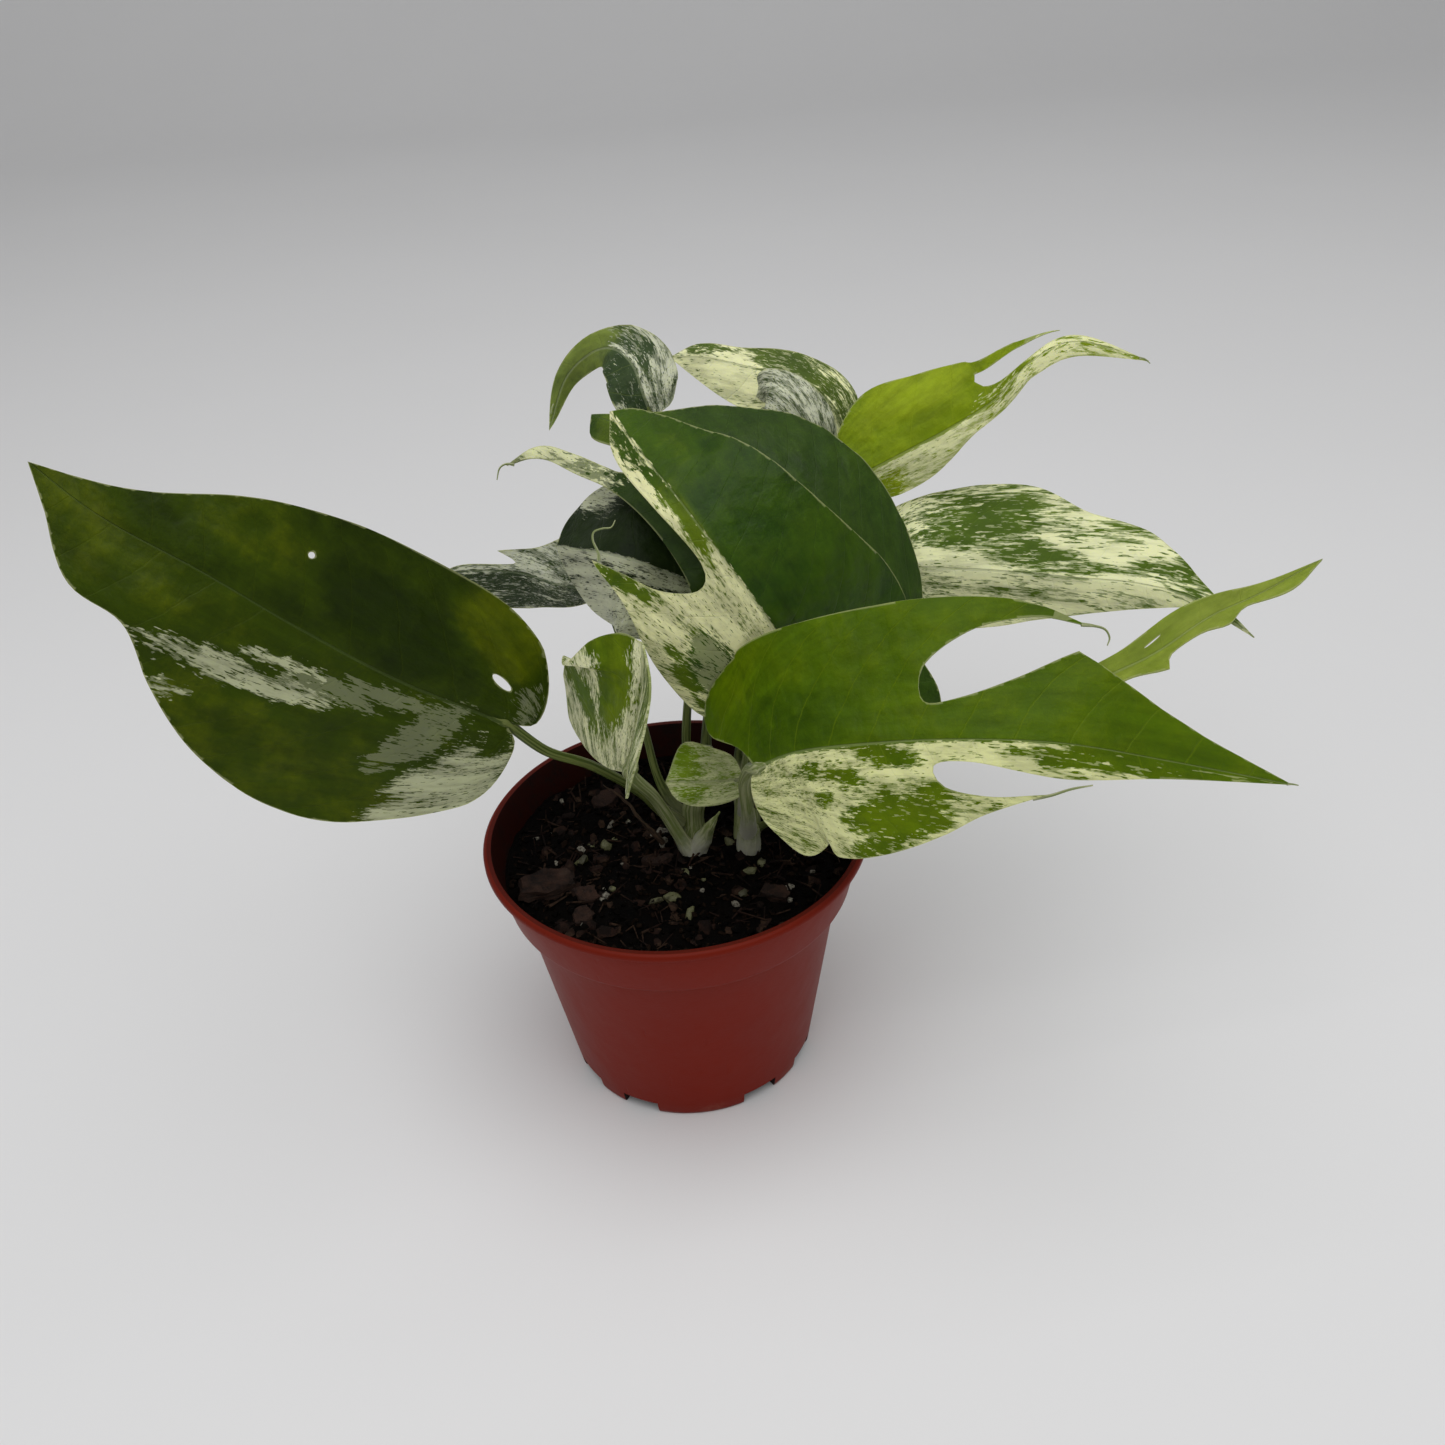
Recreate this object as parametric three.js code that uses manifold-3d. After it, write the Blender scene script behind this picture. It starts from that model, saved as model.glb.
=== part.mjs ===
// A young variegated pothos in a 4 inch nursery pot, in millimetres, +Z up.
// The origin is the middle of the pot's underside. The pot stands on Z = 0 and the plant leans out to +X and -X.
import * as THREE from "three";
import { mergeVertices } from "three/addons/utils/BufferGeometryUtils.js";
import { TessellateModifier } from "three/addons/modifiers/TessellateModifier.js";
import Module from "manifold-3d";

const wasm = await Module();
wasm.setup();

// ---- Driving dimensions ----

const GAP = 0.3; // clearance between pieces that touch

const POT_HEIGHT = 78.5;
const RIM_RADIUS = 54;
const BAND_HEIGHT = 16.8; // the straight-sided band under the lip
const BAND_FOOT_RADIUS = 48.9;
const SHOULDER_RADIUS = 45.5; // the body just under the band
const FOOT_RADIUS = 35.7;
const WALL = 1.3;
const LIP = 1.2; // how far the rolled lip stands out from the band
const LIP_HEIGHT = 2.2;
const LIP_UNDERCUT = 0.8; // height of the slope under the lip
const LIP_ROUND = 0.6;
const FOOT_ROUND = 1;
const POT_SIDES = 64;

const NOTCH_WIDTH = 11;
const NOTCH_HEIGHT = 4.5;
const NOTCH_DEPTH = 5;
const NOTCH_SPREAD = 29; // degrees from the middle of each wide foot to the notches beside it

const SOIL_LEVEL = 69;
const SOIL_CROWN = 2.5; // the mix is heaped a little towards the stems
const CROWN_SHOULDER = 0.6; // share of the heap's radius and height where its slope eases
const CHIP_CLEARANCE = 1; // keeps a loose chip clear of that shoulder

const BLADE_THICKNESS = 0.7;
const BLADE_STEP = 15; // longest edge of the facets of a blade
const MARGIN_STEP = 7; // spacing of the points along a blade's margin
const TESSELLATION_ROUNDS = 8;

const STEM_SIDES = 12;
const STEM_STEP = 8; // spacing of the rings along a stem
const PETIOLE_SIDES = 8;
const PETIOLE_STEP = 7;
const SHEATH_TIP = 0.25; // a sheath's tip radius as a share of its foot's

// ---- Materials ----

const finish = (color, roughness) => new THREE.MeshStandardMaterial({ color, roughness, metalness: 0 });

const potPlastic = () => finish(0xa8452f, 0.45);
const mix = () => finish(0x1d1712, 0.95);
const bark = () => finish(0x4a2f22, 0.85);
const greenBlade = () => finish(0x4d7a2a, 0.4);
const darkBlade = () => finish(0x35592a, 0.4);
const limeBlade = () => finish(0x86a838, 0.4);
const creamBlade = () => finish(0xd8dcb4, 0.45);
const stalk = () => finish(0x9fb478, 0.5);
const driedSheath = () => finish(0x4b3626, 0.8);

// ---- Helpers ----

const plant = new THREE.Group();

function addPiece(name, geometry, material) {
  const mesh = new THREE.Mesh(geometry, material);
  mesh.name = name;
  plant.add(mesh);
}

const point = ([x, y, z]) => new THREE.Vector3(x, y, z);

// A geometry with only merged positions left, as the joins and cuts need.
function welded(geometry) {
  const bare = geometry.clone();
  bare.deleteAttribute("normal");
  bare.deleteAttribute("uv");
  return mergeVertices(bare, 1e-4);
}

function solidOf(geometry) {
  const closed = welded(geometry);
  const vertProperties = closed.attributes.position.array;
  const triVerts = new Uint32Array(closed.index.array);
  return new wasm.Manifold(new wasm.Mesh({ numProp: 3, vertProperties, triVerts }));
}

function geometryOf(solid) {
  const { vertProperties, triVerts } = solid.getMesh();
  const geometry = new THREE.BufferGeometry();
  geometry.setAttribute("position", new THREE.BufferAttribute(vertProperties, 3));
  geometry.setIndex(new THREE.BufferAttribute(triVerts, 1));
  return geometry;
}

const cut = (geometry, cutters) =>
  geometryOf(cutters.reduce((solid, cutter) => solid.subtract(solidOf(cutter)), solidOf(geometry)));

// A solid of revolution about the Z axis, from [radius, z] points.
function turned(profile, sides) {
  const lathe = new THREE.LatheGeometry(profile.map(([radius, z]) => new THREE.Vector2(radius, z)), sides);
  return lathe.rotateX(Math.PI / 2);
}

// A round rod of one radius along a smooth curve through the given points.
function rod(points, radius, stepLength, sides) {
  const path = new THREE.CatmullRomCurve3(points.map(point));
  const section = new THREE.Shape().absarc(0, 0, radius, 0, 2 * Math.PI);
  const steps = Math.max(3, Math.round(path.getLength() / stepLength));
  return new THREE.ExtrudeGeometry(section, { steps, curveSegments: sides / 2, extrudePath: path });
}

// ---- Leaf blades ----

// A blade is described flat first, as it would lie pressed in a book. u runs from the leaf base to the tip
// along the midrib and v runs across it, positive to the left when the tip is up and the upper face is
// towards the viewer. left and right each hold the runs of one margin: a run is smooth, and a new run starts
// at each sharp tip or nick. midrib gives the places it passes through in space, face the way the upper face
// looks, fold the angle in degrees of each half at the base and the tip, and curl how many degrees a half
// rolls per mm.
const blades = [
  {
    name: "leaf_left_broad",
    material: greenBlade(),
    midrib: [[-39, -22, 131], [-60, -34, 153], [-77, -42, 173], [-93, -45, 190], [-111, -42, 203],
      [-125, -34, 213]],
    face: [0.25, -0.85, 0.47],
    fold: { left: [-4, -4], right: [8, 4] },
    curl: { left: -0.25, right: -0.25 },
    left: [
      [[0, 0], [-5, 5], [-3, 18], [12, 30], [29, 38], [50, 36], [72, 26], [85, 17], [98, 15], [112, 6], [125, 0]],
    ],
    right: [
      [[0, 0], [-8, -3], [-7, -13], [3, -23], [18, -28], [45, -27], [69, -21], [92, -10], [111, -4], [125, 0]],
    ],
  },
  {
    name: "leaf_left_young",
    material: creamBlade(),
    midrib: [[-11, -19, 111], [-8, -22, 125], [-5, -22, 138], [-4, -18, 147]],
    face: [-0.45, -0.72, 0.5],
    fold: { left: [-4, -6], right: [50, 50] },
    curl: { left: -0.4, right: -0.2 },
    left: [[[0, 0], [-4, 8], [-3, 20], [5, 27], [18, 27], [31, 25], [38, 17], [41, 7], [39, 0]]],
    right: [[[0, 0], [-2, -6], [4, -12], [15, -14], [26, -11], [34, -5], [39, 0]]],
  },
  {
    name: "leaf_front_young",
    material: creamBlade(),
    midrib: [[20, 0, 92], [12, -3, 94], [5, -6, 97], [-2, -8, 99]],
    face: [0, -0.75, 0.65],
    fold: { left: [-25, -25], right: [10, 10] },
    curl: { left: -0.5, right: -0.5 },
    left: [[[0, 0], [1, 5], [12, 7], [20, 5], [24, 0]]],
    right: [[[0, 0], [3, -7], [12, -10], [19, -10], [24, 0]]],
  },
  {
    name: "leaf_front_split",
    material: limeBlade(),
    midrib: [[21, -32, 118], [31, -40, 127], [47, -48, 133], [66, -54, 136], [89, -58, 135], [115, -58, 127],
      [149, -52, 112]],
    face: [-0.1, -0.68, 0.73],
    fold: { left: [8, 5], right: [-24, -8] },
    curl: { left: -0.2, right: -0.5 },
    left: [
      [[0, 0], [-4, 6], [-13, 12], [-11, 21], [2, 29], [26, 31], [56, 33], [84, 33], [100, 28]],
      [[100, 28], [88, 29], [74, 25], [63, 17], [63, 9], [73, 10], [86, 15], [98, 22]],
      [[98, 22], [110, 15], [124, 8], [143, 0]],
    ],
    right: [
      [[0, 0], [-4, -4], [-6, -14], [1, -25], [12, -25], [22, -23]],
      [[22, -23], [27, -27], [45, -27], [66, -23], [79, -17], [93, -12]],
      [[93, -12], [80, -13], [68, -11], [65, -6], [74, -5], [97, -8], [120, -4], [143, 0]],
    ],
  },
  {
    name: "leaf_middle_split",
    material: darkBlade(),
    midrib: [[36, -8, 130], [27, -12, 149], [17, -11, 166], [8, -2, 178], [0, 14, 184], [-7, 36, 187]],
    face: [-0.12, -0.85, 0.5],
    fold: { left: [-4, -12], right: [-4, -12] },
    curl: { left: -0.35, right: -0.55 },
    left: [
      [[0, 0], [-6, 6], [-6, 20], [3, 29], [24, 30], [46, 27], [69, 27]],
      [[69, 27], [56, 23], [43, 18], [36, 10], [42, 5], [64, 6], [88, 6], [101, 0]],
    ],
    right: [
      [[0, 0], [-9, -5], [-16, -18], [-10, -31], [6, -34], [30, -29], [56, -24], [80, -15], [96, -7], [101, 0]],
    ],
  },
  {
    name: "leaf_middle_rear",
    material: darkBlade(),
    midrib: [[46, 3, 119], [35, 6, 143], [24, 14, 161], [12, 28, 172], [0, 44, 177], [-13, 62, 177]],
    face: [0.15, -0.8, 0.55],
    fold: { left: [-4, -12], right: [-4, -12] },
    curl: { left: -0.35, right: -0.5 },
    left: [
      [[0, 0], [-4, 5], [3, 18], [20, 24], [45, 19], [70, 17], [104, 17], [124, 17], [137, 23]],
      [[137, 23], [127, 14], [112, 12], [97, 12], [87, 11], [83, 6], [96, 6], [108, 6], [113, 0]],
    ],
    right: [
      [[0, 0], [-8, -7], [-8, -26], [4, -40], [23, -45], [46, -45], [66, -39], [84, -22], [97, -7], [113, 0]],
    ],
  },
  {
    name: "leaf_rear_dark",
    material: darkBlade(),
    midrib: [[14, 22, 140], [6, 20, 146], [-3, 20, 151], [-12, 25, 152], [-21, 38, 148]],
    face: [0.1, -0.9, 0.42],
    fold: { left: [-5, -25], right: [-5, -25] },
    curl: { left: -0.6, right: -0.6 },
    left: [[[0, 0], [-4, 7], [3, 17], [17, 21], [33, 22], [45, 21], [52, 14], [55, 6], [56, 0]]],
    right: [[[0, 0], [-3, -7], [3, -18], [14, -26], [30, -30], [45, -29], [55, -21], [58, -9], [56, 0]]],
  },
  {
    name: "leaf_rear_streaked",
    material: creamBlade(),
    midrib: [[-16, 42, 132], [-27, 50, 131], [-39, 58, 132], [-54, 64, 131], [-65, 68, 128]],
    face: [-0.3, -0.75, 0.6],
    fold: { left: [-55, -50], right: [15, 15] },
    curl: { left: -0.2, right: -0.2 },
    left: [[[0, 0], [5, 5], [17, 10], [31, 15], [45, 12], [57, 0]]],
    right: [
      [[0, 0], [-4, -7], [3, -14], [15, -14], [25, -8], [34, -6]],
      [[34, -6], [29, -3], [34, -2], [46, -2], [57, 0]],
    ],
  },
  {
    name: "leaf_top_bowed",
    material: darkBlade(),
    midrib: [[4, 58, 176], [2, 60, 183], [0, 65, 189], [-5, 74, 191], [-12, 83, 187], [-20, 86, 179],
      [-26, 82, 166]],
    face: [0.1, -0.85, 0.5],
    fold: { left: [-10, -10], right: [-10, -10] },
    curl: { left: -0.8, right: -0.8 },
    left: [[[0, 0], [3, 7], [14, 9], [27, 8], [38, 5], [50, 4], [60, 2], [66, 0]]],
    right: [[[0, 0], [3, -8], [15, -12], [28, -11], [38, -6], [50, -4], [60, -2], [66, 0]]],
  },
  {
    name: "leaf_top_cream",
    material: creamBlade(),
    midrib: [[61, 70, 160], [55, 70, 172], [45, 72, 179], [32, 76, 182], [21, 80, 184], [12, 86, 183]],
    face: [0, -0.65, 0.75],
    fold: { left: [-15, -15], right: [-10, -10] },
    curl: { left: -0.5, right: -0.5 },
    left: [[[0, 0], [1, 6], [10, 11], [22, 14], [35, 12], [50, 7], [64, 0]]],
    right: [[[0, 0], [1, -6], [12, -10], [26, -9], [42, -6], [56, -5], [64, 0]]],
  },
  {
    name: "leaf_top_speckled",
    material: creamBlade(),
    midrib: [[48, 54, 162], [46, 52, 171], [42, 54, 178], [37, 59, 181], [35, 66, 177]],
    face: [-0.1, -0.9, 0.45],
    fold: { left: [-5, -15], right: [-5, -15] },
    curl: { left: -0.6, right: -0.6 },
    left: [[[0, 0], [0, 6], [8, 11], [20, 11], [30, 6], [37, 0]]],
    right: [[[0, 0], [2, -7], [10, -9], [20, -8], [30, -5], [37, 0]]],
  },
  {
    name: "leaf_top_lime",
    material: limeBlade(),
    midrib: [[57, 46, 157], [70, 48, 162], [86, 51, 168], [100, 55, 174], [110, 59, 182], [124, 62, 186],
      [146, 60, 179]],
    face: [-0.1, -0.7, 0.7],
    fold: { left: [15, 5], right: [-50, -30] },
    curl: { left: -0.1, right: -0.3 },
    left: [
      [[0, 0], [-2, 6], [5, 14], [18, 20], [32, 18], [48, 14], [64, 8], [79, 4]],
      [[79, 4], [63, 6], [49, 9], [49, 5], [62, 1.5], [82, 2], [98, 0]],
    ],
    right: [[[0, 0], [3, -8], [12, -11], [24, -11], [40, -5], [60, -4], [82, -4], [98, 0]]],
  },
  {
    name: "leaf_right_marbled",
    material: creamBlade(),
    midrib: [[67, 38, 133], [79, 38, 132], [99, 38, 129], [119, 36, 126], [139, 34, 123], [156, 30, 118],
      [170, 22, 109]],
    face: [0.05, -0.7, 0.72],
    fold: { left: [5, -10], right: [-55, -30] },
    curl: { left: -0.4, right: -0.3 },
    left: [[[0, 0], [-3, 6], [1, 16], [15, 21], [32, 27], [46, 29], [60, 23], [75, 18], [92, 5], [110, 0]]],
    right: [[[0, 0], [3, -9], [14, -18], [32, -20], [52, -14], [74, -8], [94, -2], [110, 0]]],
  },
  {
    name: "leaf_right_narrow",
    material: limeBlade(),
    midrib: [[113, 8, 105], [126, 10, 109], [139, 14, 112], [155, 20, 118], [171, 24, 122], [188, 26, 130]],
    face: [-0.2, -0.45, 0.87],
    fold: { left: [10, 10], right: [10, 10] },
    curl: { left: -0.2, right: -0.2 },
    left: [[[0, 0], [5, 4], [20, 5], [40, 7], [56, 5], [70, 2], [82, 0]]],
    right: [
      [[0, 0], [5, -4], [20, -4], [31, -7]],
      [[31, -7], [35, -3], [44, -3], [52, -5], [60, -2], [72, -4], [82, 0]],
    ],
  },
  {
    name: "leaf_hidden_small",
    material: darkBlade(),
    midrib: [[61, -12, 100], [63, -14, 114], [65, -12, 123], [67, -6, 130]],
    face: [0.2, -0.85, 0.4],
    fold: { left: [-5, -10], right: [-5, -10] },
    curl: { left: -0.6, right: -0.6 },
    left: [[[0, 0], [3, 6], [13, 8], [25, 5], [33, 0]]],
    right: [[[0, 0], [3, -6], [13, -9], [25, -6], [33, 0]]],
  },
];

// How far a rolled strip reaches across (side) and up (rise) when it starts at one angle and turns evenly.
function rolled(width, angle, turn) {
  if (turn === 0) return { side: width * Math.cos(angle), rise: width * Math.sin(angle) };
  const end = angle + turn * width;
  return { side: (Math.sin(end) - Math.sin(angle)) / turn, rise: (Math.cos(angle) - Math.cos(end)) / turn };
}

// The bent blade as a function: flat (u, v) and a height off the middle of the blade, to a place in space.
function bladeSurface({ midrib, face, fold, curl }) {
  const spine = new THREE.CatmullRomCurve3(midrib.map(point), false, "catmullrom", 0.5);
  const length = spine.getLength();
  const towards = point(face);
  return (u, v, height) => {
    const along = THREE.MathUtils.clamp(u / length, 0, 1);
    const tangent = spine.getTangent(along);
    const up = towards.clone().addScaledVector(tangent, -towards.dot(tangent)).normalize();
    const across = up.clone().cross(tangent);
    const half = v < 0 ? "right" : "left";
    const angle = THREE.MathUtils.degToRad(THREE.MathUtils.lerp(fold[half][0], fold[half][1], along));
    const turn = THREE.MathUtils.degToRad(curl[half]);
    const width = Math.abs(v);
    const { side, rise } = rolled(width, angle, turn);
    const lean = v === 0 ? 0 : angle + turn * width;
    const outwards = v < 0 ? -1 : 1;
    return spine.getPoint(along)
      .addScaledVector(tangent, u - along * length)
      .addScaledVector(across, outwards * (side - height * Math.sin(lean)))
      .addScaledVector(up, rise + height * Math.cos(lean));
  };
}

// One half of the blade, flat: its margin runs from base to tip, closed along the midrib.
function halfBlade(runs) {
  const margin = runs.flatMap((run) => {
    const curve = new THREE.SplineCurve(run.map(([u, v]) => new THREE.Vector2(u, v)));
    const steps = Math.max(run.length - 1, Math.round(curve.getLength() / MARGIN_STEP));
    return curve.getSpacedPoints(steps).slice(0, -1);
  });
  const tip = new THREE.Vector2(...runs.at(-1).at(-1));
  return new THREE.ShapeGeometry(new THREE.Shape([...margin, tip]));
}

// The whole blade as a thin closed plate: both halves, split into short facets, lifted to two bent faces
// half the thickness either side of the middle, with a strip around every free edge.
function bladeSolid(blade) {
  const place = bladeSurface(blade);
  const flat = new TessellateModifier(BLADE_STEP, TESSELLATION_ROUNDS);
  const triangles = [];
  for (const half of ["left", "right"]) {
    const { position } = flat.modify(halfBlade(blade[half]).toNonIndexed()).attributes;
    for (let i = 0; i < position.count; i += 3) {
      triangles.push([0, 1, 2].map((k) => [position.getX(i + k), position.getY(i + k)]));
    }
  }

  const key = ([u, v]) => `${Math.round(u * 1000)},${Math.round(v * 1000)}`;
  const edges = new Map();
  const positions = [];
  const addFace = (...corners) => positions.push(...corners.flatMap((corner) => corner.toArray()));
  const top = ([u, v]) => place(u, v, BLADE_THICKNESS / 2);
  const bottom = ([u, v]) => place(u, v, -BLADE_THICKNESS / 2);
  for (const [a, b, c] of triangles) {
    addFace(top(a), top(b), top(c));
    addFace(bottom(c), bottom(b), bottom(a));
    for (const [from, to] of [[a, b], [b, c], [c, a]]) {
      if (!edges.delete(key(to) + ">" + key(from))) edges.set(key(from) + ">" + key(to), [from, to]);
    }
  }
  for (const [from, to] of edges.values()) {
    addFace(top(from), bottom(from), bottom(to));
    addFace(top(from), bottom(to), top(to));
  }
  const geometry = new THREE.BufferGeometry();
  geometry.setAttribute("position", new THREE.Float32BufferAttribute(positions, 3));
  return geometry;
}

for (const blade of blades) addPiece(blade.name, bladeSolid(blade), blade.material);

// ---- Pot ----

const BAND_FOOT = POT_HEIGHT - BAND_HEIGHT;
const LIP_FOOT = POT_HEIGHT - LIP_HEIGHT;

// Outer radius of the band at a height, which leans out from its foot to the lip.
const bandRadius = (z) =>
  THREE.MathUtils.mapLinear(z, BAND_FOOT, POT_HEIGHT, BAND_FOOT_RADIUS, RIM_RADIUS - LIP);
const bodyRadius = (z) => THREE.MathUtils.mapLinear(z, 0, BAND_FOOT, FOOT_RADIUS, SHOULDER_RADIUS);

const potProfile = [
  [0, 0],
  [FOOT_RADIUS - FOOT_ROUND, 0],
  [FOOT_RADIUS, FOOT_ROUND],
  [SHOULDER_RADIUS, BAND_FOOT - FOOT_ROUND],
  [BAND_FOOT_RADIUS, BAND_FOOT],
  [bandRadius(LIP_FOOT - LIP_UNDERCUT), LIP_FOOT - LIP_UNDERCUT],
  [RIM_RADIUS, LIP_FOOT],
  [RIM_RADIUS, POT_HEIGHT - LIP_ROUND],
  [RIM_RADIUS - LIP_ROUND, POT_HEIGHT],
  [bandRadius(POT_HEIGHT) - WALL, POT_HEIGHT],
  [bandRadius(BAND_FOOT) - WALL, BAND_FOOT + WALL],
  [SHOULDER_RADIUS - WALL, BAND_FOOT],
  [bodyRadius(WALL) - WALL, WALL],
  [0, WALL],
];

// The drain notches cut the corner between floor and wall, two between each pair of wide feet.
const notches = [0, 90, 180, 270].flatMap((foot) =>
  [-NOTCH_SPREAD, NOTCH_SPREAD].map((aside) => {
    const notch = new THREE.BoxGeometry(NOTCH_DEPTH * 2, NOTCH_WIDTH, NOTCH_HEIGHT * 2);
    notch.translate(FOOT_RADIUS, 0, 0);
    return notch.rotateZ(THREE.MathUtils.degToRad(foot + aside));
  }),
);
addPiece("pot", cut(turned(potProfile, POT_SIDES), notches), potPlastic());

// ---- Stems ----

// Two rooted cuttings share the pot. Each stem starts well down in the mix.
const stems = [
  { name: "stem_left", radius: 3.2, path: [[4, 3, 35], [4, 3, 64], [6, 6, 80], [11, 11, 95]] },
  { name: "stem_right", radius: 3.4, path: [[20, 3, 35], [20, 3, 64], [21, 7, 80], [24, 13, 97]] },
];
for (const { name, radius, path } of stems) {
  addPiece(name, rod(path, radius, STEM_STEP, STEM_SIDES), stalk());
}

// ---- Potting mix ----

const soilProfile = [
  [0, WALL + GAP],
  [bodyRadius(WALL + GAP) - WALL - GAP, WALL + GAP],
  [SHOULDER_RADIUS - WALL - GAP, BAND_FOOT],
  [bandRadius(BAND_FOOT) - WALL - GAP, BAND_FOOT + WALL + GAP],
  [bandRadius(SOIL_LEVEL) - WALL - GAP, SOIL_LEVEL],
  [bandRadius(SOIL_LEVEL) * CROWN_SHOULDER, SOIL_LEVEL + SOIL_CROWN * CROWN_SHOULDER],
  [0, SOIL_LEVEL + SOIL_CROWN],
];
const sockets = stems.map(({ radius, path }) => {
  const [foot, ...rest] = path;
  return rod([[foot[0], foot[1], foot[2] - GAP], ...rest], radius + GAP, STEM_STEP, STEM_SIDES);
});
addPiece("potting_mix", cut(turned(soilProfile, POT_SIDES), sockets), mix());

// Loose bark chips lie on the mix: middle, size, turn and tilt in degrees.
const chips = [
  { at: [-37, -11], size: [18, 12, 4], turn: 20, tilt: 5 },
  { at: [-26, -17], size: [9, 6, 3], turn: -35, tilt: 8 },
  { at: [-27, -25], size: [8, 6, 2.5], turn: 50, tilt: -6 },
  { at: [-6, -6], size: [10, 5, 3], turn: 10, tilt: 5 },
  { at: [25, -24], size: [9, 6, 3], turn: -20, tilt: 7 },
  { at: [38, 12], size: [11, 6, 3], turn: 70, tilt: 5 },
  { at: [-20, 26], size: [12, 7, 3], turn: 35, tilt: -5 },
];
const soilHeight = (radius) =>
  SOIL_LEVEL + SOIL_CROWN * (1 - Math.min(1, radius / bandRadius(SOIL_LEVEL)));
chips.forEach(({ at: [x, y], size: [length, width, height], turn, tilt }, index) => {
  // An irregular six-cornered flake, the same shape stretched to each size.
  const outline = [[-0.5, -0.2], [-0.1, -0.5], [0.42, -0.38], [0.5, 0.15], [0.1, 0.5], [-0.38, 0.36]];
  const shape = new THREE.Shape(outline.map(([u, v]) => new THREE.Vector2(u * length, v * width)));
  const flake = new THREE.ExtrudeGeometry(shape, { depth: height, bevelEnabled: false });
  const lift = (length / 2) * Math.sin(THREE.MathUtils.degToRad(Math.abs(tilt))) + GAP + CHIP_CLEARANCE;
  flake.rotateY(THREE.MathUtils.degToRad(tilt)).rotateZ(THREE.MathUtils.degToRad(turn));
  flake.translate(x, y, soilHeight(Math.hypot(x, y)) + lift);
  addPiece(`bark_chip_${index + 1}`, flake, bark());
});

// ---- Petioles ----

// The stalk of each blade: it leaves a stem, and ends just short of the base of its blade, on the underside.
const petioles = [
  {
    blade: "left_broad",
    radius: 1.3,
    path: [[0, 2, 79], [-5, 3, 83], [-11, 0, 93], [-21, -8, 107], [-31, -16, 118]],
  },
  { blade: "left_young", radius: 1.6, path: [[2, -3, 73], [-3, -4, 87], [-6, -8, 96]] },
  { blade: "front_young", radius: 1, path: [[19, 1, 82], [20, 1, 88]] },
  { blade: "front_split", radius: 1.6, path: [[20, -3, 73], [20, -9, 86], [19, -15, 101], [20, -24, 112]] },
  { blade: "middle_split", radius: 1.5, path: [[25, 4, 86], [31, -2, 100], [36, -5, 116]] },
  { blade: "middle_rear", radius: 1.5, path: [[28, 11, 88], [36, 10, 104]] },
  { blade: "rear_dark", radius: 1.3, path: [[5, 14, 88], [7, 20, 108], [12, 24, 126]] },
  { blade: "rear_streaked", radius: 1.2, path: [[1, 8, 77], [-3, 12, 83], [-6, 21, 96], [-9, 33, 112]] },
  { blade: "top_bowed", radius: 1.3, path: [[11, 18, 92], [15, 36, 120], [9, 50, 152]] },
  { blade: "top_cream", radius: 1.4, path: [[25, 19, 94], [43, 42, 116], [59, 66, 142]] },
  { blade: "top_speckled", radius: 1.2, path: [[19, 16, 90], [32, 38, 118], [45, 52, 145]] },
  { blade: "top_lime", radius: 1.4, path: [[29, 15, 96], [46, 32, 120], [55, 42, 142]] },
  { blade: "right_marbled", radius: 1.4, path: [[27, 12, 84], [44, 26, 104], [57, 36, 122]] },
  { blade: "right_narrow", radius: 1.3, path: [[26, 6, 78], [57, 4, 98], [87, 6, 101]] },
  { blade: "hidden_small", radius: 1, path: [[25, 0, 74], [44, -8, 88]] },
];
for (const { blade, radius, path } of petioles) {
  const place = bladeSurface(blades.find(({ name }) => name === `leaf_${blade}`));
  const end = place(-(radius + GAP), 0, -radius).toArray();
  addPiece(`petiole_${blade}`, rod([...path, end], radius, PETIOLE_STEP, PETIOLE_SIDES), stalk());
}

// ---- Sheaths ----

// Papery sheaths that wrapped each young blade still stand at the stems as pointed scales.
const sheaths = [
  { name: "sheath_left", foot: [6, -3, 74], tip: [12, -8, 87], radius: 1.8, material: stalk() },
  { name: "sheath_strand", foot: [-5, -2, 77], tip: [-18, -8, 100], radius: 0.8, material: driedSheath() },
  { name: "sheath_dried", foot: [23, -12, 92], tip: [22, -14, 112], radius: 0.9, material: driedSheath() },
];
for (const { name, foot, tip, radius, material } of sheaths) {
  const axis = point(tip).sub(point(foot));
  const scale = new THREE.CylinderGeometry(radius * SHEATH_TIP, radius, axis.length(), PETIOLE_SIDES);
  const upright = new THREE.Vector3(0, 1, 0);
  scale.applyQuaternion(new THREE.Quaternion().setFromUnitVectors(upright, axis.normalize()));
  scale.translate(...point(foot).add(point(tip)).multiplyScalar(0.5).toArray());
  addPiece(name, scale, material);
}

export default plant;
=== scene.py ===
import math
import random

import bmesh
import bpy
from mathutils import Matrix, Vector, noise


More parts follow.
